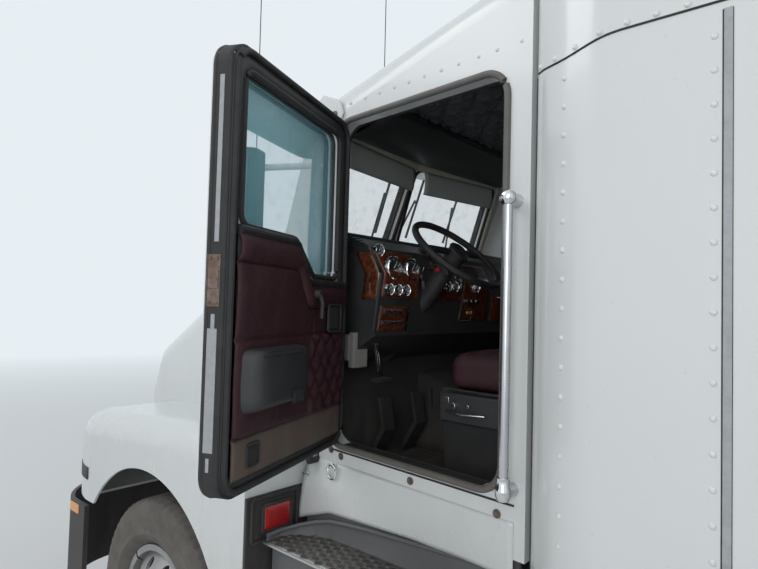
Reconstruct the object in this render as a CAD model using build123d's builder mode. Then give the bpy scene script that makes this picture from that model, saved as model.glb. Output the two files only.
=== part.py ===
from build123d import *
import math
import os

os.makedirs("parts", exist_ok=True)

# Semi truck tractor unit with sloped hood, cab, sleeper and a tandem of drive axles, in millimetres.
# The origin is the kingpin seat at the fifth wheel's top, +X forward, +Y left, +Z up.

# Heights above the ground
plate_above_ground = 1190
ground = -plate_above_ground
wheel_radius = 510
axle_height = ground + wheel_radius

# Frame rails, two channels that open inwards
rail_top = -180
rail_height = 270
rail_flange = 90
rail_wall = 10
rail_outer = 432
rail_bottom = rail_top - rail_height
rail_inner = rail_outer - rail_wall
frame_rear = -1700
frame_front = 6320
member_depth = 80

# Axles along the truck
front_axle_x = 5400
tandem_spacing = 1320
bogie_x = -200
drive_axle_stations = (bogie_x + tandem_spacing / 2, bogie_x - tandem_spacing / 2)

# Wheels and tyres
tyre_half_width = 140
tread_half_width = 96
bead_radius = 286
rim_wall = 16
rim_flange_radius = 298
rim_half_width = 105
rim_flange_width = 14
disc_thickness = 12
seat_gap = 0.3
running_gap = 0.05
front_wheel_y = 1043
dual_outer_y = 1085
dual_inner_y = 742
dual_middle_y = (dual_outer_y + dual_inner_y) / 2
hub_radius = 110
hand_hole_circle = 215
hand_hole_radius = 24
hand_hole_count = 10

# Steering knuckles
kingpin_y = 850
kingpin_radius = 25
kingpin_boss_radius = 55
kingpin_boss_half = 60
spindle_radius = 40
yoke_gap = 6
yoke_thickness = 30
spindle_length = 190

# Drive axle housings
housing_tube_radius = 70
drive_spindle_radius = 60
differential_radius = 240

# Fifth wheel
plate_thickness = 40
plate_half_width = 450
plate_front = 430
plate_rear = -420
kingpin_seat_radius = 25.5
pivot_drop = 100
pivot_pin_radius = 25
base_plate_thickness = 12

# Cab body, tapered in plan
wall = 60
cab_back = 3662
cab_floor = 20
cab_taper = 5.33
side_station = 3750
side_half_width = 950
firewall_x = 4640
windshield_base = (5060, 1080)
windshield_rake = 20
windshield_vee = 8
roof_front = (4868, 1608)
roof_break = (4770, 1668)
roof_rear_height = 1900
roof_seam = 1568

# Door openings and hinges
door_rear = 3750
door_front = 4578
door_bottom = 202
door_top = 1518
door_corner = 85
door_gap = 8
hinge_x = 4592
hinge_out = 6
door_open_angle = 63.8
belt_height = 985
belt_front_height = 865

# Hood and fenders, tilting about a low front hinge
hood_hinge_x = 6600
hood_hinge_z = -310
hood_skin = 12
hood_bottom = -290
fender_half_width = 1215
arch_centre_x = 5425
arch_radius = 655
bumper_top = -345
bumper_bottom = -850
bumper_front = 6670
hood_nose = 6590
fender_rear = 4700
grille_width = 860
grille_height = 430
grille_frame = 40
grille_z = -20
slat_pitch = 52
slat_count = 7
slat_height = 12
lamp_y = 905
lamp_z = -165
lamp_width = 330
lamp_height = 150
hinge_lug_y = 336
hinge_lug_radius = 18
hinge_pin_radius = 10
splash_inner = 880
splash_outer = 1190
splash_top = 15
splash_bottom = -520

# Sleeper
sleeper_front = 3638
sleeper_rear = 2000
sleeper_half_width = 1090
sleeper_bottom = -60
sleeper_seam = 1470
sleeper_top = 2460
sleeper_wall = 40


pieces = {}


def side_y(x):
    """Outer face of the cab's side at station x."""
    return side_half_width - (x - side_station) * math.tan(math.radians(cab_taper))


# Chassis

with BuildPart() as frame_rails:
    for side in (1, -1):
        with BuildSketch(Plane.YZ.offset(frame_rear)):
            with Locations((side * (rail_outer - rail_flange / 2), rail_top - rail_height / 2)):
                Rectangle(rail_flange, rail_height)
            with Locations((side * (rail_inner - rail_flange / 2), rail_top - rail_height / 2)):
                Rectangle(rail_flange, rail_height - 2 * rail_wall, mode=Mode.SUBTRACT)
        extrude(amount=frame_front - frame_rear)
pieces["frame_rails"] = frame_rails

member_top = rail_top - rail_wall
member_height = rail_height - 2 * rail_wall
member_stations = (frame_rear + 60, -1100, bogie_x, 1000, 2250, frame_front - 60)

# Channels between the rails; the rearmost has the four holes of a tow hitch
hitch_spacing_y = 160
hitch_spacing_z = 90
hitch_hole_radius = 11
with BuildPart() as crossmembers:
    for station in member_stations:
        with BuildSketch(Plane.XZ.offset(-rail_inner)):
            with Locations((station, member_top - member_height / 2)):
                Rectangle(member_depth, member_height)
            with Locations((station + rail_wall, member_top - member_height / 2)):
                Rectangle(member_depth, member_height - 2 * rail_wall, mode=Mode.SUBTRACT)
        extrude(amount=2 * rail_inner)
    hitch_x = member_stations[0] - member_depth / 2
    with BuildSketch(Plane.YZ.offset(hitch_x)):
        with Locations((0, member_top - member_height / 2)):
            with GridLocations(hitch_spacing_y, hitch_spacing_z, 2, 2):
                Circle(hitch_hole_radius)
    extrude(amount=rail_wall, mode=Mode.SUBTRACT)
pieces["crossmembers"] = crossmembers

# Front axle: a forged beam, dropped between the springs, with a vertical boss at each end
beam_half_depth = 45
spring_seat_z = axle_height + 40
with BuildPart() as front_axle:
    with BuildSketch(Plane.YZ.offset(front_axle_x - beam_half_depth)):
        with BuildLine():
            beam_top = ((-kingpin_y, axle_height + 45), (-650, axle_height + 40), (-560, spring_seat_z),
                        (560, spring_seat_z), (650, axle_height + 40), (kingpin_y, axle_height + 45))
            beam_under = ((kingpin_y, axle_height - 45), (640, axle_height - 50), (540, axle_height - 90),
                          (-540, axle_height - 90), (-640, axle_height - 50), (-kingpin_y, axle_height - 45))
            Polyline(*beam_top, *beam_under, close=True)
        make_face()
    extrude(amount=2 * beam_half_depth)
    for side in (1, -1):
        with BuildSketch(Plane.XY.offset(axle_height - kingpin_boss_half)):
            with Locations((front_axle_x, side * kingpin_y)):
                Circle(kingpin_boss_radius)
        extrude(amount=2 * kingpin_boss_half)
    for side in (1, -1):
        with BuildSketch(Plane.XY.offset(axle_height - kingpin_boss_half)):
            with Locations((front_axle_x, side * kingpin_y)):
                Circle(kingpin_radius + running_gap)
        extrude(amount=2 * kingpin_boss_half, mode=Mode.SUBTRACT)
pieces["front_axle"] = front_axle

# Front leaf springs in hangers under the rails
spring_half_length = 640
leaf_stack = 40
spring_end_z = rail_bottom - 70
hanger_length = 110
with BuildPart() as front_springs:
    for side in (1, -1):
        with BuildSketch(Plane.XZ.offset(-side * (rail_outer - rail_flange / 2) - rail_flange / 2)):
            with BuildLine():
                ThreePointArc(
                    (front_axle_x - spring_half_length, spring_end_z),
                    (front_axle_x, spring_seat_z),
                    (front_axle_x + spring_half_length, spring_end_z))
                Line((front_axle_x + spring_half_length, spring_end_z),
                     (front_axle_x + spring_half_length, spring_end_z + leaf_stack))
                ThreePointArc(
                    (front_axle_x + spring_half_length, spring_end_z + leaf_stack),
                    (front_axle_x, spring_seat_z + leaf_stack),
                    (front_axle_x - spring_half_length, spring_end_z + leaf_stack))
                Line((front_axle_x - spring_half_length, spring_end_z + leaf_stack),
                     (front_axle_x - spring_half_length, spring_end_z))
            make_face()
            for end in (1, -1):
                with Locations((front_axle_x + end * spring_half_length, (spring_end_z + rail_bottom) / 2 - 10)):
                    Rectangle(hanger_length, rail_bottom - spring_end_z + 20)
        extrude(amount=rail_flange)
pieces["front_springs"] = front_springs


def knuckle(side):
    """Steering knuckle: a yoke round the axle's boss with its kingpin, and the wheel spindle."""
    yoke_inner = kingpin_boss_half + yoke_gap
    yoke_outer = yoke_inner + yoke_thickness
    with BuildPart() as upright:
        for level in (axle_height + yoke_inner, axle_height - yoke_outer):
            with BuildSketch(Plane.XY.offset(level)):
                with Locations((front_axle_x, side * kingpin_y)):
                    Circle(kingpin_boss_radius)
                with Locations((front_axle_x, side * (kingpin_y + 40))):
                    Rectangle(2 * kingpin_boss_radius, 80)
            extrude(amount=yoke_thickness)
        with BuildSketch(Plane.XY.offset(axle_height - yoke_outer)):
            with Locations((front_axle_x, side * (kingpin_y + 72))):
                Rectangle(2 * kingpin_boss_radius, 16)
        extrude(amount=2 * yoke_outer)
        with BuildSketch(Plane.XY.offset(axle_height - yoke_outer)):
            with Locations((front_axle_x, side * kingpin_y)):
                Circle(kingpin_radius)
        extrude(amount=2 * yoke_outer)
        with BuildSketch(Plane.XZ.offset(-side * (kingpin_y + 80))):
            with Locations((front_axle_x, axle_height)):
                Circle(spindle_radius)
        extrude(amount=-side * spindle_length)
    return upright


pieces["knuckle_left"] = knuckle(1)
pieces["knuckle_right"] = knuckle(-1)


def wheel_plane(station, side):
    """Profile plane of a wheel: local x is the distance out from the truck's middle, y the radius."""
    return Plane(origin=(station, 0, axle_height), x_dir=(0, side, 0), z_dir=(side, 0, 0))


def tyre_outline(centre):
    """One tyre's section: beads, sidewalls, shoulders and tread, as (out, radius) points."""
    bead = rim_half_width - rim_flange_width - seat_gap
    half = (
        (bead, bead_radius + seat_gap),
        (bead, rim_flange_radius + seat_gap),
        (128, 330),
        (tyre_half_width, 400),
        (131, 462),
        (116, 496),
        (tread_half_width, wheel_radius))
    right = [(centre + out, radius) for out, radius in half]
    left = [(centre - out, radius) for out, radius in reversed(half)]
    Polygon(*right, *left, align=None)


def rim_outline(centre):
    """One rim's section: the barrel with a flange at each edge."""
    with Locations((centre, bead_radius - rim_wall / 2)):
        Rectangle(2 * rim_half_width, rim_wall)
    flange_height = rim_flange_radius - bead_radius + rim_wall
    for edge in (1, -1):
        with Locations((centre + edge * (rim_half_width - rim_flange_width / 2),
                        rim_flange_radius - flange_height / 2)):
            Rectangle(rim_flange_width, flange_height)


def tyres(station, side, centres):
    """The tyres of one wheel body."""
    with BuildPart() as rubber:
        with BuildSketch(wheel_plane(station, side)):
            for centre in centres:
                tyre_outline(centre)
        revolve(axis=Axis((station, 0, axle_height), (0, 1, 0)))
    return rubber


disc_rise = 140
hub_cap_radius = 72
hub_cap_out = 182
hub_floor = front_wheel_y + 60
hub_inner = 948


def front_rim(side):
    """Front disc wheel with its hub, open at the back for the spindle."""
    face = front_wheel_y + disc_rise
    with BuildPart() as rim:
        with BuildSketch(wheel_plane(front_axle_x, side)):
            rim_outline(front_wheel_y)
            disc = ((front_wheel_y + 40, bead_radius - rim_wall + 4), (front_wheel_y + 60, bead_radius - rim_wall + 4),
                    (face, 178), (face, hub_cap_radius), (face - disc_thickness, hub_cap_radius),
                    (face - disc_thickness, 172))
            Polygon(*disc, align=None)
            hub = ((hub_inner, spindle_radius + running_gap), (hub_inner, hub_radius - 15),
                   (face - disc_thickness, hub_radius - 15), (face, hub_cap_radius + 20),
                   (front_wheel_y + hub_cap_out - 10, hub_cap_radius),
                   (front_wheel_y + hub_cap_out, hub_cap_radius - 12),
                   (front_wheel_y + hub_cap_out, 0), (hub_floor + 74, 0),
                   (hub_floor + 74, spindle_radius + running_gap))
            Polygon(*hub, align=None)
        revolve(axis=Axis((front_axle_x, 0, axle_height), (0, 1, 0)))
        with BuildSketch(Plane.XZ.offset(-side * (front_wheel_y + 30))):
            with Locations((front_axle_x, axle_height)):
                with PolarLocations(hand_hole_circle, hand_hole_count):
                    Circle(hand_hole_radius)
        extrude(amount=-side * 120, mode=Mode.SUBTRACT)
    return rim


drive_hub_inner = 800
drive_spindle_end = 990
drum_radius = 212
drum_wall = 14


def dual_rims(station, side):
    """A pair of disc wheels bolted face to face on one hub, with the brake drum."""
    with BuildPart() as rims:
        with BuildSketch(wheel_plane(station, side)):
            rim_outline(dual_outer_y)
            rim_outline(dual_inner_y)
            for way, centre in ((-1, dual_outer_y), (1, dual_inner_y)):
                inner_edge = bead_radius - rim_wall + 4
                face = dual_middle_y - way * disc_thickness
                disc = ((centre + way * 40, inner_edge), (centre + way * 60, inner_edge),
                        (dual_middle_y, 200), (dual_middle_y, 90), (face, 90), (face, 194))
                Polygon(*disc, align=None)
            hub = ((drive_hub_inner, drive_spindle_radius + running_gap), (drive_hub_inner, drum_radius),
                   (drive_hub_inner + drum_wall, drum_radius), (drive_hub_inner + drum_wall, hub_radius),
                   (dual_outer_y - 20, hub_radius), (dual_outer_y - 20, 80), (dual_outer_y + 25, 74),
                   (dual_outer_y + 25, 0), (drive_spindle_end + 8, 0),
                   (drive_spindle_end + 8, drive_spindle_radius + running_gap))
            Polygon(*hub, align=None)
            drum = ((drive_hub_inner + drum_wall, drum_radius), (drive_hub_inner + drum_wall, drum_radius - drum_wall),
                    (640, drum_radius - drum_wall), (640, drum_radius))
            Polygon(*drum, align=None)
        revolve(axis=Axis((station, 0, axle_height), (0, 1, 0)))
        with BuildSketch(Plane.XZ.offset(-side * (dual_middle_y - 60))):
            with Locations((station, axle_height)):
                with PolarLocations(hand_hole_circle + 18, hand_hole_count):
                    Circle(hand_hole_radius)
        extrude(amount=-side * 120, mode=Mode.SUBTRACT)
    return rims


for side, word in ((1, "left"), (-1, "right")):
    pieces["front_rim_" + word] = front_rim(side)
    pieces["front_tyre_" + word] = tyres(front_axle_x, side, (front_wheel_y,))
for station, place in zip(drive_axle_stations, ("mid", "rear")):
    for side, word in ((1, "left"), (-1, "right")):
        pieces[place + "_rims_" + word] = dual_rims(station, side)
        pieces[place + "_tyres_" + word] = tyres(station, side, (dual_inner_y, dual_outer_y))

# Drive axles: turned housings with the differential's bulge and its pinion nose
pinion_reach = 330
output_reach = 260
pinion_radius = 90
housing_tube_end = 790
with BuildPart() as drive_axles:
    for station in drive_axle_stations:
        with BuildSketch(wheel_plane(station, 1)):
            half = ((drive_spindle_end, 0), (drive_spindle_end, drive_spindle_radius),
                    (housing_tube_end, drive_spindle_radius), (housing_tube_end, housing_tube_radius),
                    (250, housing_tube_radius), (150, differential_radius - 50), (60, differential_radius))
            mirrored = [(-out, radius) for out, radius in reversed(half)]
            Polygon(*half, *mirrored, align=None)
        revolve(axis=Axis((station, 0, axle_height), (0, 1, 0)))
        with BuildSketch(Plane.YZ.offset(station)):
            with Locations((0, axle_height)):
                Circle(pinion_radius)
        extrude(amount=pinion_reach)
    with BuildSketch(Plane.YZ.offset(drive_axle_stations[0])):
        with Locations((0, axle_height)):
            Circle(pinion_radius)
    extrude(amount=-output_reach)
pieces["drive_axles"] = drive_axles

# Air suspension: trailing arms over the housings, hangers at their front and air springs at their rear
arm_y = 388
arm_width = 80
arm_thickness = 50
arm_forward = 500
arm_back = 420
air_spring_radius = 100
arm_bottom = axle_height + housing_tube_radius
with BuildPart() as rear_suspension:
    for station in drive_axle_stations:
        for side in (1, -1):
            with BuildSketch(Plane.XZ.offset(-side * arm_y - arm_width / 2)):
                with Locations((station + (arm_forward - arm_back) / 2, arm_bottom + arm_thickness / 2)):
                    Rectangle(arm_forward + arm_back, arm_thickness)
                hanger_foot = arm_bottom - 20
                with Locations((station + arm_forward - 40, (hanger_foot + rail_bottom) / 2)):
                    Rectangle(120, rail_bottom - hanger_foot)
            extrude(amount=arm_width)
            with BuildSketch(Plane.XY.offset(arm_bottom + arm_thickness)):
                with Locations((station - arm_back + 90, side * arm_y)):
                    Circle(air_spring_radius)
            extrude(amount=rail_bottom - arm_bottom - arm_thickness)
pieces["rear_suspension"] = rear_suspension

# Engine and gearbox as one closed mass, carried on the rails' lower flanges
engine_rear = 4700
engine_front = 5760
engine_half_width = 310
engine_bottom = -520
engine_height = 940
gearbox_rear = 3780
gearbox_axis_z = -330
with BuildPart() as engine_block:
    with BuildSketch(Plane.YZ.offset(engine_rear)):
        with Locations((0, engine_bottom + engine_height / 2)):
            RectangleRounded(2 * engine_half_width, engine_height, 50)
    extrude(amount=engine_front - engine_rear)
    for station in (engine_rear + 200, engine_front - 200):
        with BuildSketch(Plane.XY.offset(rail_bottom + rail_wall)):
            with Locations((station, 0)):
                Rectangle(120, 2 * rail_inner)
        extrude(amount=80)
    with BuildSketch(Plane.YZ.offset(engine_rear)):
        with Locations((0, gearbox_axis_z)):
            RectangleRounded(420, 360, 60)
    extrude(amount=gearbox_rear - engine_rear)
pieces["engine_block"] = engine_block

# Drive shafts: gearbox to first axle, first axle to second
shaft_radius = 52
yoke_radius = 72
yoke_length = 90
with BuildPart() as drive_shafts:
    shaft_runs = (
        (gearbox_rear, gearbox_axis_z, drive_axle_stations[0] + pinion_reach, axle_height),
        (drive_axle_stations[0] - output_reach, axle_height, drive_axle_stations[1] + pinion_reach, axle_height))
    for front_end, front_z, rear_end, rear_z in shaft_runs:
        for end, level, way in ((front_end, front_z, -1), (rear_end, rear_z, 1)):
            with BuildSketch(Plane.YZ.offset(end)):
                with Locations((0, level)):
                    Circle(yoke_radius)
            extrude(amount=way * yoke_length)
        start = Vector(front_end - yoke_length / 2, 0, front_z)
        finish = Vector(rear_end + yoke_length / 2, 0, rear_z)
        with BuildSketch(Plane(origin=start, z_dir=finish - start)):
            Circle(shaft_radius)
        extrude(amount=(finish - start).length)
pieces["drive_shafts"] = drive_shafts

# Radiator pack standing on the rails
radiator_x = 5960
with BuildPart() as radiator:
    with BuildSketch(Plane.XY.offset(rail_top)):
        with Locations((radiator_x + 60, 0)):
            Rectangle(120, 2 * rail_outer - 20)
    extrude(amount=560)
pieces["radiator"] = radiator

# Fifth wheel: base on the rails with a pivot pin each side, and the tilting plate with its throat
lug_inner = 345
lug_outer = 370
upright_inner = 376
upright_outer = 396
base_top = rail_top + base_plate_thickness
with BuildPart() as fifth_wheel_base:
    with BuildSketch(Plane.XY.offset(rail_top)):
        Rectangle(560, 2 * rail_outer)
    extrude(amount=base_plate_thickness)
    for side in (1, -1):
        with BuildSketch(Plane.XZ.offset(-side * (upright_inner + upright_outer) / 2
                                         - (upright_outer - upright_inner) / 2)):
            with BuildLine():
                Polyline((-130, base_top), (130, base_top), (45, -pivot_drop), (-45, -pivot_drop), close=True)
            make_face()
            with Locations((0, -pivot_drop)):
                Circle(45)
        extrude(amount=upright_outer - upright_inner)
        with BuildSketch(Plane.XZ.offset(-side * upright_inner)):
            with Locations((0, -pivot_drop)):
                Circle(pivot_pin_radius)
        extrude(amount=side * (upright_inner - lug_inner + 2))
pieces["fifth_wheel_base"] = fifth_wheel_base

with BuildPart() as fifth_wheel_plate:
    with BuildSketch(Plane.XY.offset(-plate_thickness)):
        with Locations(((plate_front + plate_rear) / 2, 0)):
            RectangleRounded(plate_front - plate_rear, 2 * plate_half_width, 180)
        Circle(kingpin_seat_radius, mode=Mode.SUBTRACT)
        with BuildLine():
            Polyline((0, kingpin_seat_radius), (-150, kingpin_seat_radius), (plate_rear - 10, 170),
                     (plate_rear - 10, -170), (-150, -kingpin_seat_radius), (0, -kingpin_seat_radius), close=True)
        make_face(mode=Mode.SUBTRACT)
    extrude(amount=plate_thickness)
    for side in (1, -1):
        with BuildSketch(Plane.XZ.offset(-side * (lug_inner + lug_outer) / 2 - (lug_outer - lug_inner) / 2)):
            with Locations((0, -pivot_drop / 2 - 20)):
                Rectangle(120, pivot_drop - 20)
            with Locations((0, -pivot_drop)):
                Circle(48)
                Circle(pivot_pin_radius + running_gap, mode=Mode.SUBTRACT)
        extrude(amount=lug_outer - lug_inner)
pieces["fifth_wheel_plate"] = fifth_wheel_plate

# Cab body


def cab_form(inset):
    """The cab's outer form, drawn in by inset: side profile, tapered plan and a vee of two panes."""
    with BuildPart() as form:
        with BuildSketch(Plane.XZ.offset(-1100)):
            with BuildLine():
                Polyline((cab_back, cab_floor), (firewall_x, cab_floor), (firewall_x, 330), (4724, 560),
                         (4880, 850), windshield_base, roof_front, roof_break,
                         (cab_back, roof_rear_height), close=True)
            make_face()
            if inset:
                offset(amount=-inset, kind=Kind.INTERSECTION, mode=Mode.REPLACE)
        extrude(amount=2200)
        with BuildSketch(Plane.XY.offset(cab_floor - 50)):
            rear_half = side_y(cab_back) - inset
            front_half = side_y(windshield_base[0] + 100) - inset
            Polygon((cab_back, rear_half), (windshield_base[0] + 100, front_half),
                    (windshield_base[0] + 100, -front_half), (cab_back, -rear_half), align=None)
        extrude(amount=2200, mode=Mode.INTERSECT)
        roof_edges = form.edges().filter_by(
            lambda edge: abs((edge @ 1 - edge @ 0).Z) > 100
            and min((edge @ 0).Z, (edge @ 1).Z) > roof_front[1]
            and abs((edge @ 1 - edge @ 0).X) > 600 and abs((edge @ 0.5).Y) > 500)
        fillet(roof_edges, radius=150 - inset)
        for side in (1, -1):
            split(bisect_by=pane_plane(side, -inset), keep=Keep.BOTTOM)
    return form.part


def pane_plane(side, depth):
    """Plane of one windshield half: x runs to the left, y up the pane, z outwards."""
    rake = math.radians(windshield_rake)
    vee = math.radians(windshield_vee)
    normal = Vector(math.cos(vee) * math.cos(rake), side * math.sin(vee) * math.cos(rake), math.sin(rake))
    base = Vector(windshield_base[0], 0, windshield_base[1])
    return Plane(origin=base + normal * depth, x_dir=(-side * math.sin(vee), math.cos(vee), 0), z_dir=normal)


def door_prism(side, margin):
    """A block through the cab's side with the door's outline, larger than the door by margin."""
    with BuildPart() as prism:
        with BuildSketch(Plane.XZ.offset(-side * 600)):
            with Locations(((door_rear + door_front) / 2, (door_bottom + door_top) / 2)):
                RectangleRounded(door_front - door_rear + 2 * margin, door_top - door_bottom + 2 * margin,
                                 door_corner + margin)
        extrude(amount=-side * 600)
    return prism.part


def window_prism(side, margin):
    """A block through the door with the window's outline, whose sill steps down towards the front."""
    rear = door_rear + 75 - margin
    front = door_front - 80 + margin
    top = door_top - 75 + margin
    with BuildPart() as prism:
        with BuildSketch(Plane.XZ.offset(-side * 600)):
            with BuildLine():
                Polyline((rear, belt_height - margin), (rear + 330, belt_height - margin),
                         (rear + 470, belt_front_height - margin), (front, belt_front_height - margin),
                         (front, top), (rear, top), close=True)
            make_face()
            fillet(vertices(), radius=45)
        extrude(amount=-side * 600)
    return prism.part


pane_inner = 34
pane_outer = 745
pane_low = 45
pane_high = 512
pane_corner = 55
glass_thickness = 6
glass_depth = 20


def pane_outline(side):
    """Outline of one windshield half on its own plane."""
    with Locations((side * (pane_inner + pane_outer) / 2, (pane_low + pane_high) / 2)):
        RectangleRounded(pane_outer - pane_inner, pane_high - pane_low, pane_corner)


cab_outer = cab_form(0)
cab_inner = cab_form(wall)
with BuildPart() as cab_whole:
    add(cab_outer)
    add(cab_inner, mode=Mode.SUBTRACT)
    for side in (1, -1):
        with BuildSketch(pane_plane(side, 10)):
            pane_outline(side)
        extrude(amount=-wall - 60, mode=Mode.SUBTRACT)
    with BuildSketch(Plane.YZ.offset(cab_back - 10)):
        with Locations((0, 780)):
            RectangleRounded(1300, 1340, 120)
    extrude(amount=wall + 20, mode=Mode.SUBTRACT)

# Door hinges: a knuckle on the cab below a knuckle with a leaf on the door, at two heights
knuckle_radius = 10
knuckle_length = 45
notch_radius = 18
leaf_length = 60
leaf_sink = 1
leaf_rise = 4
hinge_levels = (door_bottom + 160, door_top - 300)


def hinge_barrel(side, level, radius, length):
    """A cylinder on a door's hinge line, from level upwards."""
    with BuildPart() as barrel:
        with BuildSketch(Plane.XY.offset(level)):
            with Locations((hinge_x, side * (side_y(hinge_x) + hinge_out))):
                Circle(radius)
        extrude(amount=length)
    return barrel.part


def hinge_leaf(side, level):
    """The leaf that carries the door's knuckle on the door's skin."""
    pin_y = side_y(hinge_x) + hinge_out
    low = pin_y - hinge_out - leaf_sink
    high = pin_y + leaf_rise
    with BuildPart() as leaf:
        with BuildSketch(Plane.XY.offset(level)):
            with Locations((hinge_x - leaf_length / 2, side * (low + high) / 2)):
                Rectangle(leaf_length, high - low)
        extrude(amount=knuckle_length)
    return leaf.part


with BuildPart() as cab_shell:
    add(cab_whole.part)
    for side in (1, -1):
        for level in hinge_levels:
            add(hinge_barrel(side, level + knuckle_length - 5, notch_radius, knuckle_length + 10),
                mode=Mode.SUBTRACT)
            add(hinge_barrel(side, level, knuckle_radius, knuckle_length))
    add(door_prism(1, 0), mode=Mode.SUBTRACT)
    add(door_prism(-1, 0), mode=Mode.SUBTRACT)
    split(bisect_by=Plane.XY.offset(roof_seam), keep=Keep.BOTTOM)
pieces["cab_shell"] = cab_shell

with BuildPart() as cab_roof:
    add(cab_whole.part)
    split(bisect_by=Plane.XY.offset(roof_seam), keep=Keep.TOP)
pieces["cab_roof"] = cab_roof

with BuildPart() as windshield:
    for side in (1, -1):
        with BuildSketch(pane_plane(side, -glass_depth)):
            pane_outline(side)
        extrude(amount=-glass_thickness)
pieces["windshield"] = windshield

# Exterior visor over the windshield, a bent blade in two halves that seat on the header
visor_half = 790
visor_overlap = 25
visor_seat = (506, 552)
visor_flange = 10
visor_reach = 150
visor_droop = 55
visor_gauge = 6
with BuildPart() as sun_visor:
    for side in (1, -1):
        pane = pane_plane(side, 0)
        across = Plane(origin=pane.origin, x_dir=pane.y_dir, z_dir=pane.x_dir)
        with BuildSketch(across.offset(-visor_overlap if side == 1 else -visor_half)):
            low, high = visor_seat
            tip = low - visor_droop
            Polygon((low, 0), (high, 0), (high, visor_flange), (low + visor_gauge, visor_flange + visor_gauge),
                    (tip + visor_gauge, visor_reach), (tip, visor_reach), (low, visor_flange), align=None)
        extrude(amount=visor_half + visor_overlap)
pieces["sun_visor"] = sun_visor

# Doors, built closed in the cab's wall, then hung on their hinge lines
trim_thickness = 22
trim_margin = 58
trim_top = 955
trim_front_top = 835
pocket_depth = 55
pocket_wall = 8
mirror_x = 4465
mirror_arm_x = 4514
mirror_low = 880
mirror_high = 1390
mirror_inner = 265
mirror_outer = 470
mirror_depth = 120
arm_radius = 14


def door_skin(side):
    """Door cut out of the cab's wall, with its window opening."""
    with BuildPart() as skin:
        add(cab_whole.part)
        add(door_prism(side, -door_gap), mode=Mode.INTERSECT)
        add(window_prism(side, 0), mode=Mode.SUBTRACT)
        for level in hinge_levels:
            base = level + knuckle_length + seat_gap
            add(hinge_barrel(side, base, knuckle_radius, knuckle_length))
            add(hinge_leaf(side, base))
    return skin


def wall_layer(side, near, far):
    """A slab that follows the cab's tapered side, from depth near to depth far inside its skin."""
    with BuildPart() as slab:
        with BuildSketch(Plane.XY.offset(cab_floor)):
            rear = door_rear - 40
            front = door_front + 40
            corners = [(rear, side * (side_y(rear) - near)), (front, side * (side_y(front) - near)),
                       (front, side * (side_y(front) - far)), (rear, side * (side_y(rear) - far))]
            Polygon(*corners, align=None)
        extrude(amount=1800)
    return slab.part


def door_glass(side):
    """The window pane in the middle of the door's thickness."""
    with BuildPart() as glass:
        add(wall_layer(side, wall / 2 - glass_thickness / 2, wall / 2 + glass_thickness / 2))
        add(window_prism(side, 0), mode=Mode.INTERSECT)
    return glass


def door_trim(side):
    """Padded inner panel below the window with its map pocket."""
    with BuildPart() as trim:
        add(wall_layer(side, wall, wall + trim_thickness))
        with BuildSketch(Plane.XZ.offset(-side * 600)):
            with BuildLine():
                Polyline((door_rear + trim_margin, door_bottom + trim_margin),
                         (door_front - trim_margin, door_bottom + trim_margin),
                         (door_front - trim_margin, trim_front_top), (door_rear + 500, trim_front_top),
                         (door_rear + 380, trim_top), (door_rear + trim_margin, trim_top), close=True)
            make_face()
            fillet(vertices(), radius=40)
        extrude(amount=-side * 600, mode=Mode.INTERSECT)
        add(pocket(side))
    return trim


def side_block(side, near, far, rear, front, low, high):
    """A block of the wall layer between two stations and two heights."""
    with BuildPart() as block:
        add(wall_layer(side, near, far))
        with BuildSketch(Plane.XZ.offset(-side * 600)):
            with Locations(((rear + front) / 2, (low + high) / 2)):
                Rectangle(front - rear, high - low)
        extrude(amount=-side * 600, mode=Mode.INTERSECT)
    return block.part


def pocket(side):
    """Map pocket: a shallow open-topped tray on the trim."""
    rear = door_rear + 110
    front = door_rear + 560
    low = door_bottom + 150
    high = door_bottom + 400
    near = wall + trim_thickness
    far = near + pocket_depth
    with BuildPart() as tray:
        add(side_block(side, near, far, rear, front, low, high))
        add(side_block(side, near, far - pocket_wall, rear + pocket_wall, front - pocket_wall,
                       low + pocket_wall, high + pocket_wall), mode=Mode.SUBTRACT)
    return tray.part


def mirror(side):
    """Mirror head on two arms that stand out from the door's front edge."""
    skin_y = side_y(mirror_x)
    with BuildPart() as head:
        with BuildSketch(Plane.XY.offset(mirror_low)):
            with Locations((mirror_x, side * (skin_y + (mirror_inner + mirror_outer) / 2))):
                RectangleRounded(mirror_depth, mirror_outer - mirror_inner, 35)
        extrude(amount=mirror_high - mirror_low)
        for level in (mirror_low + 40, mirror_high - 60):
            with BuildSketch(Plane.XZ.offset(-side * (skin_y - 5))):
                with Locations((mirror_arm_x, level)):
                    Circle(arm_radius)
            extrude(amount=-side * (mirror_inner + 20))
        add(cab_outer, mode=Mode.SUBTRACT)
    return head


def hung(part, side, angle):
    """Turn a finished door piece about its hinge line by angle."""
    pin_y = side * (side_y(hinge_x) + hinge_out)
    return part.rotate(Axis((hinge_x, pin_y, 0), (0, 0, 1)), angle)


door_makers = (("", door_skin), ("_glass", door_glass), ("_trim", door_trim))
for side, word, angle in ((1, "left", -door_open_angle), (-1, "right", 0)):
    for ending, maker in door_makers:
        built = maker(side)
        built.part = hung(built.part, side, angle)
        pieces["door_" + word + ending] = built
    built = mirror(side)
    built.part = hung(built.part, side, angle)
    pieces["mirror_" + word] = built

# Hood: a lofted centre body and two fenders, one moulded shell

# Sections of the centre body: station, half width, crown height, corner radius
hood_sections = (
    (4664, 862, 1215, 170),
    (5900, 700, 745, 165),
    (6440, 610, 500, 150),
    (6590, 570, 250, 110))


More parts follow.
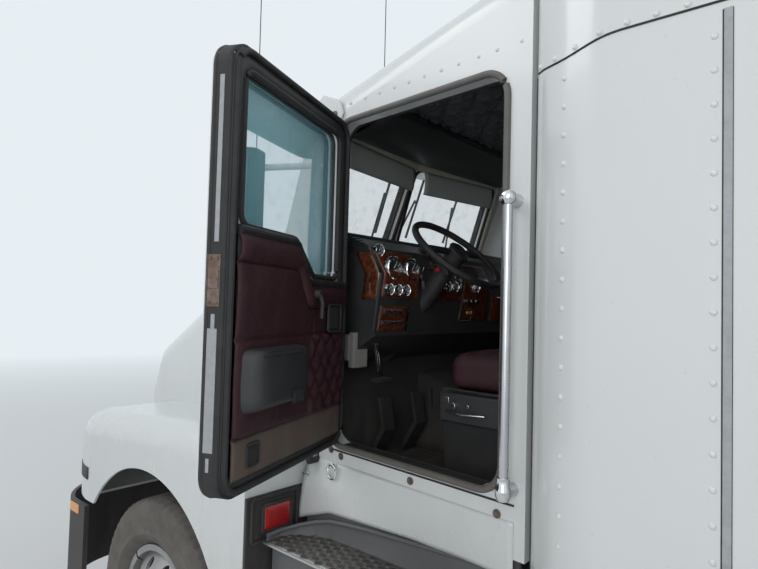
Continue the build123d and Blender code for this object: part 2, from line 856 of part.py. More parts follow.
def hood_centre(inset):
    """Centre body of the hood, drawn in by inset and carried past its open ends."""
    with BuildPart() as body:
        for station, half, crown, corner in hood_sections:
            with BuildSketch(Plane.YZ.offset(min(station, hood_nose - inset))):
                with BuildLine():
                    low = hood_bottom - 2 * inset
                    width = half - inset
                    top = crown - inset
                    bend = corner - inset
                    Line((-width, low), (width, low))
                    Line((width, low), (width, top - bend))
                    RadiusArc((width, top - bend), (width - bend, top), -bend)
                    Line((width - bend, top), (bend - width, top))
                    RadiusArc((bend - width, top), (-width, top - bend), -bend)
                    Line((-width, top - bend), (-width, low))
                make_face()
        loft(ruled=True)
    return body.part


def fender(side, inset):
    """Fender block: side profile by rounded plan, drawn in by inset."""
    with BuildPart() as block:
        with BuildSketch(Plane.XZ.offset(-side * 400)):
            with BuildLine():
                Polyline((4700, -262), (4700, 205), (5130, 232), (6200, 140), (6300, 60), (6400, -80),
                         (6420, -262), (6300, hood_bottom), (6060, hood_bottom - 14), (4700, hood_bottom - 14),
                         close=True)
            make_face()
            if inset:
                offset(amount=-inset, kind=Kind.INTERSECTION, mode=Mode.REPLACE)
                with Locations((5400, hood_bottom)):
                    Rectangle(1400 - 2 * inset, 90)
        extrude(amount=-side * 900)
        with BuildSketch(Plane.XY.offset(-500)):
            with BuildLine():
                outer = fender_half_width - inset
                Polyline((4600, side * 400), (6620, side * 400), (6560 - inset, side * 560),
                         (6440 - inset, side * 900))
                ThreePointArc((6440 - inset, side * 900), (6290 - inset, side * (outer - 90)), (6020, side * outer))
                Polyline((6020, side * outer), (4900, side * outer), (4600, side * (outer - 35)),
                         (4600, side * 400))
            make_face()
        extrude(amount=1000, mode=Mode.INTERSECT)
    return block.part


def lamp_prism(side, margin):
    """A block through the fender's front with the headlamp's outline, smaller by margin."""
    with BuildPart() as prism:
        with BuildSketch(Plane.YZ.offset(6150)):
            with Locations((side * lamp_y, lamp_z)):
                RectangleRounded(lamp_width - 2 * margin, lamp_height - 2 * margin, 40)
        extrude(amount=500)
    return prism.part


def lamp_lens(side):
    """Headlamp lens cut from a thick layer of the fender's own form."""
    with BuildPart() as lens:
        add(fender(side, 0))
        add(fender(side, 2 * hood_skin), mode=Mode.SUBTRACT)
        add(lamp_prism(side, 1), mode=Mode.INTERSECT)
    return lens.part


def hood_rear_cut():
    """What lies behind the hood's rear edge, which clears the cab as the hood tilts."""
    with BuildPart() as behind:
        with BuildSketch(Plane.XZ.offset(-1000)):
            with BuildLine():
                Polyline((4500, -600), (4666, -600), (4666, 330), (4750, 550), (4904, 838), (5080, 1062),
                         (5080, 1500), (4500, 1500), close=True)
            make_face()
        extrude(amount=2000)
    return behind.part


with BuildPart() as hood:
    add(hood_centre(0))
    for side in (1, -1):
        add(fender(side, 0))
    add(hood_centre(hood_skin), mode=Mode.SUBTRACT)
    for side in (1, -1):
        add(fender(side, hood_skin), mode=Mode.SUBTRACT)
    add(hood_rear_cut(), mode=Mode.SUBTRACT)
    with BuildSketch(Plane.XZ.offset(-1400)):
        with Locations((arch_centre_x, axle_height)):
            Circle(arch_radius)
    extrude(amount=2800, mode=Mode.SUBTRACT)
    with BuildSketch(Plane.YZ.offset(hood_nose - 60)):
        with Locations((0, grille_z)):
            RectangleRounded(grille_width - 2 * grille_frame, grille_height - 2 * grille_frame, 40)
    extrude(amount=120, mode=Mode.SUBTRACT)
    for side in (1, -1):
        add(lamp_prism(side, 0), mode=Mode.SUBTRACT)
        with BuildSketch(Plane.XZ.offset(-side * (hinge_lug_y + 7) - 7)):
            with Locations((hood_hinge_x, hood_hinge_z)):
                Circle(hinge_lug_radius)
            with Locations((hood_nose - 20, hood_bottom + 10)):
                Rectangle(50, 60)
            with Locations((hood_hinge_x, hood_hinge_z)):
                Circle(hinge_pin_radius + running_gap, mode=Mode.SUBTRACT)
        extrude(amount=14)
pieces["hood"] = hood

# Grille: a surround with slats, standing on the hood's nose
with BuildPart() as grille:
    with BuildSketch(Plane.YZ.offset(hood_nose)):
        with Locations((0, grille_z)):
            RectangleRounded(grille_width, grille_height, 60)
            RectangleRounded(grille_width - 2 * grille_frame, grille_height - 2 * grille_frame, 40,
                             mode=Mode.SUBTRACT)
            with GridLocations(0, slat_pitch, 1, slat_count):
                Rectangle(grille_width - grille_frame, slat_height)
            Rectangle(slat_height, grille_height - grille_frame)
    extrude(amount=hood_hinge_x - hood_nose)
pieces["grille"] = grille

# Headlamp lenses, flush in the fenders
with BuildPart() as headlamps:
    for side in (1, -1):
        add(lamp_lens(side))
pieces["headlamps"] = headlamps

# Panels behind the front wheels, closing the fenders' ends
with BuildPart() as splash_panels:
    for side in (1, -1):
        with BuildSketch(Plane.YZ.offset(fender_rear)):
            with Locations((side * (splash_inner + splash_outer) / 2, (splash_top + splash_bottom) / 2)):
                Rectangle(splash_outer - splash_inner, splash_top - splash_bottom)
        extrude(amount=-hood_skin)
pieces["splash_panels"] = splash_panels

# Bumper: a hollow channel bent round the front, on brackets from the rails, with the hood's hinge pins
bumper_wall = 25


def bumper_plan(inset):
    """Outline of the bumper from above, drawn in by inset."""
    outer = fender_half_width - inset
    nose = bumper_front - inset
    with BuildSketch() as plan:
        with BuildLine():
            Line((6065, -outer), (6240, -outer))
            ThreePointArc((6240, -outer), (6450 - inset, -1090), (6560 - inset, -850))
            Polyline((6560 - inset, -850), (nose - 10, -430), (nose, -300), (nose, 300), (nose - 10, 430),
                     (6560 - inset, 850))
            ThreePointArc((6560 - inset, 850), (6450 - inset, 1090), (6240, outer))
            Line((6240, outer), (6065, outer))
            Line((6065, outer), (6065, -outer))
        make_face()
    return plan.sketch


with BuildPart() as bumper:
    with BuildSketch(Plane.XY.offset(bumper_bottom)):
        add(bumper_plan(0))
    extrude(amount=bumper_top - bumper_bottom)
    with BuildSketch(Plane.XY.offset(bumper_bottom)):
        add(bumper_plan(bumper_wall))
    extrude(amount=bumper_top - bumper_bottom, mode=Mode.SUBTRACT)
    for side in (1, -1):
        with BuildSketch(Plane.XY.offset(rail_bottom)):
            with Locations(((frame_front + bumper_front - 10) / 2, side * (rail_outer - rail_flange / 2))):
                Rectangle(bumper_front - 10 - frame_front, rail_flange)
        extrude(amount=bumper_top - rail_bottom)
        with BuildSketch(Plane.XZ.offset(-side * (hinge_lug_y - 22) - 16)):
            with Locations((hood_hinge_x, (hood_hinge_z + bumper_top) / 2 - 20)):
                Rectangle(28, hood_hinge_z - bumper_top + 40)
            with Locations((hood_hinge_x, hood_hinge_z)):
                Circle(14)
        extrude(amount=32)
        with BuildSketch(Plane.XZ.offset(-side * (hinge_lug_y - 10))):
            with Locations((hood_hinge_x, hood_hinge_z)):
                Circle(hinge_pin_radius)
        extrude(amount=-side * 26)
        with BuildSketch(Plane.XY.offset(bumper_top - 70)):
            with Locations((hood_hinge_x, side * 335)):
                Rectangle(60, 130)
        extrude(amount=50)
        with BuildSketch(Plane.XZ.offset(-side * (fender_half_width - 10))):
            with Locations((6190, -378)):
                RectangleRounded(112, 52, 12)
        extrude(amount=-side * 20, mode=Mode.SUBTRACT)
pieces["bumper"] = bumper

with BuildPart() as bumper_lamps:
    for side in (1, -1):
        with BuildSketch(Plane.XZ.offset(-side * (fender_half_width - 10))):
            with Locations((6190, -378)):
                RectangleRounded(110, 50, 11)
        extrude(amount=-side * 12)
pieces["bumper_lamps"] = bumper_lamps

# Sleeper: a tall box that flares out behind the cab, with a raised roof that slopes up from it
flare_start_y = 968
flare_length = 230
sleeper_corner = 90
sleeper_front_top = 1905
sleeper_slope_end = 2880


def sleeper_form(inset):
    """The sleeper's outer form, drawn in by inset."""
    with BuildPart() as form:
        with BuildSketch(Plane.XY.offset(sleeper_bottom + inset)):
            with BuildLine():
                wide = sleeper_half_width - inset
                front = sleeper_front - inset
                rear = sleeper_rear + inset
                start = flare_start_y - inset
                bend = (front - flare_length * 0.45, start + (wide - start) * 0.72)
                flare_end = (front - flare_length, wide)
                corner_start = (rear + sleeper_corner, wide)
                corner_end = (rear, wide - sleeper_corner)
                corner_mid = (rear + 0.293 * sleeper_corner, wide - 0.293 * sleeper_corner)
                ThreePointArc((front, start), bend, flare_end)
                Line(flare_end, corner_start)
                ThreePointArc(corner_start, corner_mid, corner_end)
                Line(corner_end, (rear, sleeper_corner - wide))
                ThreePointArc((rear, sleeper_corner - wide), (corner_mid[0], -corner_mid[1]),
                              (corner_start[0], -corner_start[1]))
                Line((corner_start[0], -corner_start[1]), (flare_end[0], -flare_end[1]))
                ThreePointArc((flare_end[0], -flare_end[1]), (bend[0], -bend[1]), (front, -start))
                Line((front, -start), (front, start))
            make_face()
        extrude(amount=sleeper_top - sleeper_bottom - 2 * inset)
        slope = math.atan2(sleeper_top - sleeper_front_top, sleeper_front - sleeper_slope_end)
        with BuildSketch(Plane.XZ.offset(-1200)):
            with BuildLine():
                low = sleeper_front_top - inset / math.cos(slope)
                rise = math.tan(slope)
                Polyline((sleeper_front + 50, low - 50 * rise), (sleeper_front + 50, sleeper_top + 200),
                         (sleeper_front - (sleeper_top + 200 - low) / rise, sleeper_top + 200), close=True)
            make_face()
        extrude(amount=2400, mode=Mode.SUBTRACT)
        crown = form.faces().filter_by(lambda face: face.normal_at().Z > 0.5)
        fillet(crown.edges(), radius=120 - inset)
    return form.part


with BuildPart() as sleeper_whole:
    add(sleeper_form(0))
    add(sleeper_form(sleeper_wall), mode=Mode.SUBTRACT)
    with BuildSketch(Plane.YZ.offset(sleeper_front + 10)):
        with Locations((0, 780)):
            RectangleRounded(1300, 1340, 120)
    extrude(amount=-sleeper_wall - 30, mode=Mode.SUBTRACT)

with BuildPart() as sleeper_body:
    add(sleeper_whole.part)
    split(bisect_by=Plane.XY.offset(sleeper_seam), keep=Keep.BOTTOM)
pieces["sleeper_body"] = sleeper_body

with BuildPart() as sleeper_roof:
    add(sleeper_whole.part)
    split(bisect_by=Plane.XY.offset(sleeper_seam), keep=Keep.TOP)
pieces["sleeper_roof"] = sleeper_roof

# Fuel tanks and their cradles, and the posts that carry cab and sleeper
tank_radius = 325
tank_y = 805
tank_z = -565
tank_rear = 2180
tank_front = 3640
cradle_width = 70
with BuildPart() as fuel_tanks:
    for side in (1, -1):
        with BuildSketch(Plane.YZ.offset(tank_rear)):
            with Locations((side * tank_y, tank_z)):
                Circle(tank_radius)
        extrude(amount=tank_front - tank_rear)
    fillet(fuel_tanks.edges().filter_by(GeomType.CIRCLE), radius=30)
pieces["fuel_tanks"] = fuel_tanks

cab_post_stations = (3800, 4480)
sleeper_post_stations = (2150, 3480)
with BuildPart() as body_mounts:
    for side in (1, -1):
        for stations, top in ((cab_post_stations, cab_floor), (sleeper_post_stations, sleeper_bottom)):
            for station in stations:
                with BuildSketch(Plane.XY.offset(rail_top)):
                    with Locations((station, side * (rail_outer - rail_flange / 2))):
                        Rectangle(100, rail_flange)
                extrude(amount=top - rail_top)
        for station in (tank_rear + 250, tank_front - 250):
            with BuildSketch(Plane.YZ.offset(station - cradle_width / 2)):
                with Locations((side * (rail_outer + 110), (tank_z + rail_bottom + 150) / 2)):
                    Rectangle(220, rail_bottom + 150 - tank_z)
                with Locations((side * (rail_outer + 220), tank_z - 235)):
                    Rectangle(440, 120)
                with Locations((side * (rail_outer + 35), tank_z)):
                    Rectangle(70, 500)
                with Locations((side * tank_y, tank_z)):
                    Circle(tank_radius + seat_gap, mode=Mode.SUBTRACT)
            extrude(amount=cradle_width)
pieces["body_mounts"] = body_mounts

# Boxes under the doors that carry the steps, with a fairing up to the cab
step_rear = 3690
step_front = 4660
step_outer = 1130
box_outer = 1080
step_top = -150
plate_gauge = 8
lower_step_z = -690
with BuildPart() as step_boxes:
    for side in (1, -1):
        with BuildSketch(Plane.XY.offset(-600)):
            with Locations(((step_rear + step_front) / 2, side * (rail_outer + box_outer) / 2)):
                Rectangle(step_front - step_rear, box_outer - rail_outer)
        extrude(amount=step_top - plate_gauge + 600)
        for station in (step_rear + 60, step_front - 60):
            with BuildSketch(Plane.XY.offset(lower_step_z - 20)):
                with Locations((station, side * (box_outer - 150))):
                    Rectangle(12, 300)
            extrude(amount=-600 - lower_step_z + 20)
        with BuildSketch(Plane.XY.offset(step_top - plate_gauge)):
            with Locations(((step_rear + step_front) / 2, side * 905)):
                Rectangle(step_front - step_rear - 20, 14)
        extrude(amount=cab_floor - step_top + plate_gauge)
pieces["step_boxes"] = step_boxes

deck_rear = 1250
deck_front = 1930
with BuildPart() as tread_plates:
    with BuildSketch(Plane.XY.offset(rail_top)):
        with Locations(((deck_rear + deck_front) / 2, 0)):
            Rectangle(deck_front - deck_rear, 2 * rail_outer)
    extrude(amount=plate_gauge)
    for side in (1, -1):
        with BuildSketch(Plane.XY.offset(step_top - plate_gauge)):
            with Locations(((step_rear + step_front) / 2, side * (912 + step_outer) / 2)):
                Rectangle(step_front - step_rear, step_outer - 912)
        extrude(amount=plate_gauge)
        with BuildSketch(Plane.XY.offset(lower_step_z)):
            with Locations(((step_rear + step_front) / 2, side * (box_outer - 100))):
                Rectangle(step_front - step_rear - 132, 300)
        extrude(amount=plate_gauge)
pieces["tread_plates"] = tread_plates

# Mud flaps on their hangers, tail lamps on a bar across the frame's end
flap_x = -1570
flap_inner = 620
flap_outer = 1210
flap_bottom = -1010
with BuildPart() as mud_flaps:
    for side in (1, -1):
        with BuildSketch(Plane.XY.offset(-270)):
            with Locations((flap_x + 6, side * (rail_outer + flap_outer) / 2)):
                Rectangle(40, flap_outer - rail_outer)
        extrude(amount=40)
        with BuildSketch(Plane.XY.offset(flap_bottom)):
            with Locations((flap_x, side * (flap_inner + flap_outer) / 2)):
                Rectangle(12, flap_outer - flap_inner)
        extrude(amount=-250 - flap_bottom)
pieces["mud_flaps"] = mud_flaps

lamp_bar_depth = 26
tail_lamp_radius = 52
with BuildPart() as tail_lamps:
    with BuildSketch(Plane.XY.offset(rail_bottom - 60)):
        with Locations((frame_rear - lamp_bar_depth / 2, 0)):
            Rectangle(lamp_bar_depth, 1260)
    extrude(amount=120)
    for out in (-560, -430, 430, 560):
        with BuildSketch(Plane.YZ.offset(frame_rear - lamp_bar_depth)):
            with Locations((out, rail_bottom)):
                Circle(tail_lamp_radius)
        extrude(amount=-18)
pieces["tail_lamps"] = tail_lamps

# Exhaust: an upright muffler and stack behind the sleeper
stack_x = 1860
stack_y = -760
stack_radius = 64
muffler_radius = 125
stack_top = 2440
with BuildPart() as exhaust_stack:
    with BuildSketch(Plane.XZ.offset(-stack_y)):
        with BuildLine():
            Polyline((stack_x, -330), (stack_x + stack_radius, -330), (stack_x + stack_radius, 180),
                     (stack_x + muffler_radius, 260), (stack_x + muffler_radius, 1330),
                     (stack_x + stack_radius, 1410), (stack_x + stack_radius, stack_top),
                     (stack_x + stack_radius - 4, stack_top), (stack_x + stack_radius - 4, stack_top - 400),
                     (stack_x, stack_top - 400), close=True)
        make_face()
    revolve(axis=Axis((stack_x, stack_y, 0), (0, 0, 1)))
    with BuildSketch(Plane.XY.offset(-240)):
        with Locations((stack_x, (stack_y - rail_outer) / 2)):
            Rectangle(80, abs(stack_y) - rail_outer)
    extrude(amount=60)
    with BuildSketch(Plane.XY.offset(1450)):
        with Locations(((stack_x + sleeper_rear) / 2, stack_y)):
            Rectangle(sleeper_rear - stack_x, 50)
    extrude(amount=60)
pieces["exhaust_stack"] = exhaust_stack

# Grab handles behind the doors
handle_x = 3705
handle_radius = 15
handle_out = 60
handle_low = 227
handle_high = 1096
with BuildPart() as grab_handles:
    for side in (1, -1):
        skin_y = side_y(handle_x)
        with BuildSketch(Plane.XY.offset(handle_low)):
            with Locations((handle_x, side * (skin_y + handle_out))):
                Circle(handle_radius)
        extrude(amount=handle_high - handle_low)
        for level in (handle_low, handle_high):
            with BuildSketch(Plane.XZ.offset(-side * (skin_y - 5))):
                with Locations((handle_x, level)):
                    Circle(handle_radius + 6)
            extrude(amount=-side * (handle_out + handle_radius))
    add(cab_outer, mode=Mode.SUBTRACT)
pieces["grab_handles"] = grab_handles

# Inside the cab
floor_top = cab_floor + wall
wheel_centre = Vector(4255, 443, 1000)
wheel_tilt = 40
steer_radius = 214
grip_radius = 15
steer_hub_radius = 46
column_radius = 40
column_shaft_radius = 12
column_length = 620
column_drop = 56
column_axis = Vector(-math.sin(math.radians(wheel_tilt)), 0, math.cos(math.radians(wheel_tilt)))


def column_plane(rise):
    """Plane square to the steering column, rise above the wheel's middle."""
    return Plane(origin=wheel_centre + column_axis * rise, x_dir=(0, 1, 0), z_dir=column_axis)


dash_half_width = 765
with BuildPart() as dashboard:
    with BuildSketch(Plane.XZ.offset(-dash_half_width)):
        with BuildLine():
            Polyline((4700, 480), (4560, 560), (4440, 640), (4400, 900), (4470, 1010), (4600, 1065),
                     (4900, 1085), (5050, 1085), (5050, 480), close=True)
        make_face()
    extrude(amount=2 * dash_half_width)
    add(cab_inner, mode=Mode.INTERSECT)
    with BuildSketch(column_plane(-column_drop)):
        Circle(column_radius + seat_gap)
    extrude(amount=-column_length, mode=Mode.SUBTRACT)
pieces["dashboard"] = dashboard

with BuildPart() as steering_wheel:
    with BuildSketch(Plane(origin=wheel_centre, x_dir=(0, 1, 0), z_dir=column_axis.cross(Vector(0, 1, 0)))):
        with Locations((steer_radius, 0)):
            Circle(grip_radius)
    revolve(axis=Axis(wheel_centre, column_axis))
    with BuildSketch(column_plane(-50)):
        Circle(steer_hub_radius)
    extrude(amount=60)
    with BuildSketch(column_plane(-14)):
        with Locations((steer_radius / 2, -24), (-steer_radius / 2, -24)):
            Rectangle(steer_radius - 8, 34)
    extrude(amount=14)
    with BuildSketch(column_plane(-50)):
        Circle(column_shaft_radius + running_gap)
    extrude(amount=35, mode=Mode.SUBTRACT)
pieces["steering_wheel"] = steering_wheel

pedal_x = 4560
with BuildPart() as steering_column:
    with BuildSketch(column_plane(-column_drop)):
        Circle(column_radius)
    extrude(amount=-column_length)
    add(cab_inner, mode=Mode.INTERSECT)
    with BuildSketch(column_plane(-column_drop)):
        Circle(column_shaft_radius)
    extrude(amount=36)
    for out, width in ((250, 60), (380, 70), (610, 70)):
        with BuildSketch(Plane.XZ.offset(-out - width / 2)):
            with BuildLine():
                Polyline((pedal_x - 90, floor_top + 150), (pedal_x - 60, floor_top + 290),
                         (pedal_x - 45, floor_top + 285), (pedal_x - 70, floor_top + 165),
                         (pedal_x + 20, floor_top), (pedal_x, floor_top), close=True)
            make_face()
        extrude(amount=width)
    with BuildSketch(Plane.XZ.offset(10)):
        with BuildLine():
            Polyline((4330, floor_top), (4360, floor_top), (4180, 780), (4160, 770), close=True)
        make_face()
    extrude(amount=-20)
pieces["steering_column"] = steering_column

seat_y = 443
seat_half_width = 245
cushion_front = 4235
cushion_rear = 3770
cushion_low = 450
seat_back_x = cab_back + wall + 6
cushion_high = 590
with BuildPart() as seats:
    for side in (1, -1):
        with BuildSketch(Plane.XZ.offset(-side * seat_y - seat_half_width)):
            with BuildLine():
                Polyline((cushion_front, cushion_low), (cushion_front, cushion_high - 20),
                         (cushion_front - 60, cushion_high), (cushion_rear + 130, cushion_high - 30),
                         (cushion_rear + 20, 1330), (seat_back_x, 1340), (cushion_rear - 30, cushion_low),
                         close=True)
            make_face()
            fillet(vertices(), radius=25)
        extrude(amount=2 * seat_half_width)
pieces["seats"] = seats

with BuildPart() as seat_bases:
    for side in (1, -1):
        with BuildSketch(Plane.XY.offset(floor_top)):
            with Locations(((cushion_front + cushion_rear) / 2 - 20, side * seat_y)):
                Rectangle(360, 380)
        extrude(amount=cushion_low - floor_top, taper=-2)
pieces["seat_bases"] = seat_bases

bunk_front = 2800
with BuildPart() as bunk:
    with BuildSketch(Plane.XY.offset(sleeper_bottom + sleeper_wall)):
        with Locations(((sleeper_rear + sleeper_wall + bunk_front) / 2, 0)):
            Rectangle(bunk_front - sleeper_rear - sleeper_wall - 160, 2 * sleeper_half_width - 400)
    extrude(amount=420)
    with BuildSketch(Plane.XY.offset(sleeper_bottom + sleeper_wall + 420)):
        with Locations(((sleeper_rear + sleeper_wall + bunk_front) / 2, 0)):
            RectangleRounded(bunk_front - sleeper_rear - sleeper_wall - 20, 2 * sleeper_half_width - 120, 60)
    extrude(amount=140)
pieces["bunk"] = bunk

for name, maker in pieces.items():
    maker.part.label = name
    export_step(maker.part, "parts/" + name + ".step")
    print(name, len(maker.part.solids()), round(maker.part.volume / 1e6, 2))
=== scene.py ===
"""Looks of a semi truck tractor unit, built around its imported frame."""

import logging
from dataclasses import dataclass
from enum import Enum
from math import atan2, ceil, copysign, cos, dist, exp, hypot, pi, radians, sin, sqrt, tan
from typing import Callable, Iterable, Sequence

import bmesh
import bpy
from bpy.types import ID, Material, NodeOutputs, NodeSocket, NodeTree, Object
from mathutils import Matrix, Vector


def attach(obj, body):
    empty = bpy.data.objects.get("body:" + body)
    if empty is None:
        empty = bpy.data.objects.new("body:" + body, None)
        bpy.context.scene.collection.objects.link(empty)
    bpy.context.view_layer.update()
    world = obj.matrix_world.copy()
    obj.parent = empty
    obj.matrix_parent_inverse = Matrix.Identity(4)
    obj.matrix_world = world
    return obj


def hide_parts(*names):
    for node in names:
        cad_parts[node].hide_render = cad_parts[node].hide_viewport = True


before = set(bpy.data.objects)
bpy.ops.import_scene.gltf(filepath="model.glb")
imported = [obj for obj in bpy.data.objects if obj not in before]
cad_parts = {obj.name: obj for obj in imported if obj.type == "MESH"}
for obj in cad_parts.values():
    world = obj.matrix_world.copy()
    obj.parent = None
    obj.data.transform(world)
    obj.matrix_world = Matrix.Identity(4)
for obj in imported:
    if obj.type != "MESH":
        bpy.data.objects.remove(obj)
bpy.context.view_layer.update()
log = logging.getLogger("truck")

Pair = tuple[float, float]
Pairs = tuple[Pair, ...]
Triple = tuple[float, float, float]
Colour = Triple
Point = Sequence[float]
Outline = Sequence[Pair]
SIDES = ((1, "left"), (-1, "right"))

# Sizes that repeat the frame's own, in metres and degrees
GROUND = -1.19
AXLE_Z = -0.68
FRONT_AXLE_X = 5.4
DRIVE_AXLES = (0.46, -0.86)
DOOR_REAR, DOOR_FRONT = 3.75, 4.578
DOOR_LOW, DOOR_TOP = 0.202, 1.518
DOOR_CORNER = 0.085
SIDE_HALF, SIDE_TAPER = 0.95, tan(radians(5.33))
ROOF_X, ROOF_Z, ROOF_SLOPE = 4.77, 1.668, 0.2094
PANE_BASE = (5.06, 0, 1.08)
PANE_RAKE, PANE_VEE = radians(20.0), radians(8.0)
SLEEPER_BEND = ((3.638, 0.968), (3.5345, 1.05584), (3.408, 1.09))
FENDER_BEND = ((6.02, 1.215), (6.29, 1.125), (6.44, 0.9))
MIRROR_X = 4.465
HINGE_X, HINGE_OUT = 4.592, 0.006
OPEN_ANGLE = 63.8
WALL = 0.06
CAB_BACK = 3.662
FLOOR_TOP = 0.08


def clamp(value: float) -> float:
    """The value held between 0 and 1."""
    return min(1.0, max(0.0, value))


def side_y(x: float) -> float:
    """Outer face of the cab's tapered side at station x."""
    return SIDE_HALF - (x - DOOR_REAR) * SIDE_TAPER


def roof_z(x: float) -> float:
    """Top of the cab's sloped roof at station x."""
    return ROOF_Z + (ROOF_X - x) * ROOF_SLOPE


def pane(side: int, across: float, up: float, out: float) -> Vector:
    """A point on one windshield half: across from the middle, up the pane, and out of it."""
    level = cos(PANE_RAKE)
    normal = Vector((cos(PANE_VEE) * level, side * sin(PANE_VEE) * level, sin(PANE_RAKE)))
    x_way = Vector((-side * sin(PANE_VEE), cos(PANE_VEE), 0))
    y_way = normal.cross(x_way)
    return Vector(PANE_BASE) + x_way * side * across + y_way * up + normal * out


def circle(a: Point, b: Point, c: Point) -> tuple[Vector, float]:
    """Centre and radius of the circle through three points."""
    start, mid, end = Vector(a), Vector(b) - Vector(a), Vector(c) - Vector(a)
    turn = 2 * (mid.x * end.y - mid.y * end.x)
    centre = start + Vector((end.y * mid.length_squared - mid.y * end.length_squared,
                             mid.x * end.length_squared - end.x * mid.length_squared)) / turn
    return centre, (start - centre).length


def sleeper_y(x: float) -> float:
    """Half width of the sleeper, which flares behind the cab."""
    end = Vector(SLEEPER_BEND[-1])
    if x <= end.x:
        return end.y
    centre, radius = circle(*SLEEPER_BEND)
    return centre.y + sqrt(max(0.0, radius ** 2 - (x - centre.x) ** 2))


def grow(tree: NodeTree, kind: str, inputs: dict | None = None, **settings: object) -> NodeOutputs:
    """Add a node to any tree.

    Args:
        tree: where it is added.
        kind: the node's type.
        inputs: values or sockets by input name or index.
        settings: attributes of the node.

    Returns:
        The node's outputs.
    """
    made = tree.nodes.new(kind)
    for key, value in settings.items():
        setattr(made, key, value)
    for key, value in (inputs or {}).items():
        if isinstance(value, NodeSocket):
            tree.links.new(value, made.inputs[key])
        else:
            made.inputs[key].default_value = value
    return made.outputs


def camera_rays(tree: NodeTree) -> NodeSocket:
    """1 for rays from the camera, off glossy surfaces or through glass."""
    path = grow(tree, "ShaderNodeLightPath")
    some = grow(tree, "ShaderNodeMath", {0: path["Is Camera Ray"], 1: path["Is Glossy Ray"]}, operation="ADD")
    return grow(tree, "ShaderNodeMath", {0: some[0], 1: path["Is Transmission Ray"]},
                operation="ADD", use_clamp=True)[0]


class Wire:
    """A shader socket whose arithmetic adds Math nodes."""

    def __init__(self, shade: "Shade", socket: NodeSocket) -> None:
        """Wrap one output socket of a shade's tree."""
        self.shade = shade
        self.socket = socket

    def __add__(self, other: "Wire | float") -> "Wire":
        """Sum."""
        return self.shade.maths("ADD", self, other)

    def __sub__(self, other: "Wire | float") -> "Wire":
        """Difference."""
        return self.shade.maths("SUBTRACT", self, other)

    def __rsub__(self, other: float) -> "Wire":
        """Reflected difference, as in 1 - mask."""
        return self.shade.maths("SUBTRACT", other, self)

    def __mul__(self, other: "Wire | float") -> "Wire":
        """Product."""
        return self.shade.maths("MULTIPLY", self, other)

    def __truediv__(self, other: "Wire | float") -> "Wire":
        """Quotient."""
        return self.shade.maths("DIVIDE", self, other)

    __radd__ = __add__
    __rmul__ = __mul__


class Shade:
    """The node tree of one material."""

    def __init__(self, name: str) -> None:
        """Start an empty tree with its output.

        Args:
            name: the material's name.
        """
        self.material = bpy.data.materials.new(name)
        self.material.use_nodes = True
        self.tree = self.material.node_tree
        self.tree.nodes.clear()

    def node(self, kind: str, settings: dict | None = None, inputs: dict | None = None,
             output: int | str = 0) -> Wire:
        """Add a node.

        Args:
            kind: the node's type, without its Shader prefix.
            settings: attributes set before any socket, a ramp's stops among them.
            inputs: values or wires by socket name or index.
            output: the output socket that is handed back.

        Returns:
            The chosen output as a wire.
        """
        made = self.tree.nodes.new("ShaderNode" + kind)
        for key, value in (settings or {}).items():
            if key == "stops":
                ramp = made.color_ramp
                while len(ramp.elements) < len(value):
                    ramp.elements.new(0.5)
                for element, (place, tone) in zip(ramp.elements, value):
                    element.position = place
                    element.color = (*tone, 1.0)
            else:
                setattr(made, key, value)
        for key, value in (inputs or {}).items():
            socket = made.inputs[key]
            if isinstance(value, Wire):
                self.tree.links.new(value.socket, socket)
            elif socket.type == "RGBA":
                socket.default_value = (*value, 1.0)
            else:
                socket.default_value = value
        return Wire(self, made.outputs[output])

    def maths(self, operation: str, first: "Wire | float", second: "Wire | float" = 0.0,
              clamp: bool = False) -> Wire:
        """Add a Math node."""
        return self.node("Math", {"operation": operation, "use_clamp": clamp}, {0: first, 1: second})

    def mix(self, factor: "Wire | float", first: "Wire | Colour", second: "Wire | Colour") -> Wire:
        """Mix two colours by factor."""
        return self.node("Mix", {"data_type": "RGBA"}, {0: factor, 6: first, 7: second}, 2)

    def place(self) -> Wire:
        """Object coordinates."""
        return self.node("TexCoord", output="Object")

    def noise(self, size: float, detail: float = 4.0, stretch: Point = (1, 1, 1)) -> Wire:
        """Noise with features of about size metres, stretched along the axes."""
        where = self.node("Mapping", {}, {"Vector": self.place(), "Scale": stretch})
        return self.node(
            "TexNoise", {}, {"Vector": where, "Scale": 1.0 / size, "Detail": detail, "Roughness": 0.6})

    def step(self, value: Wire, low: float, high: float) -> Wire:
        """Ramp value from 0 at low to 1 at high."""
        return self.node("MapRange", {"clamp": True}, {0: value, 1: low, 2: high, 3: 0.0, 4: 1.0})

    def surface(self, inputs: dict, bump: Wire | None = None, depth: float = 0.001) -> Material:
        """Close the tree with a Principled shader.

        Args:
            inputs: values or wires of the Principled shader.
            bump: height, from 0 to 1, or None.
            depth: what a height of 1 stands for, in metres.

        Returns:
            The finished material.
        """
        if bump is not None:
            inputs = {**inputs, "Normal": self.node("Bump", {},
                                                    {"Height": bump, "Distance": depth, "Strength": 1.0})}
        shader = self.node("BsdfPrincipled", {}, inputs)
        out = self.tree.nodes.new("ShaderNodeOutputMaterial")
        self.tree.links.new(shader.socket, out.inputs["Surface"])
        return self.material


# Where a finish's noise ramps begin and end, and the sizes of its streaks and chips
PATCH_RAMP, STREAK_RAMP, CHIP_RAMP = (0.38, 0.68), (0.35, 0.75), (0.69, 0.74)
STREAK_SIZE, CHIP_SIZE = 0.07, 0.012


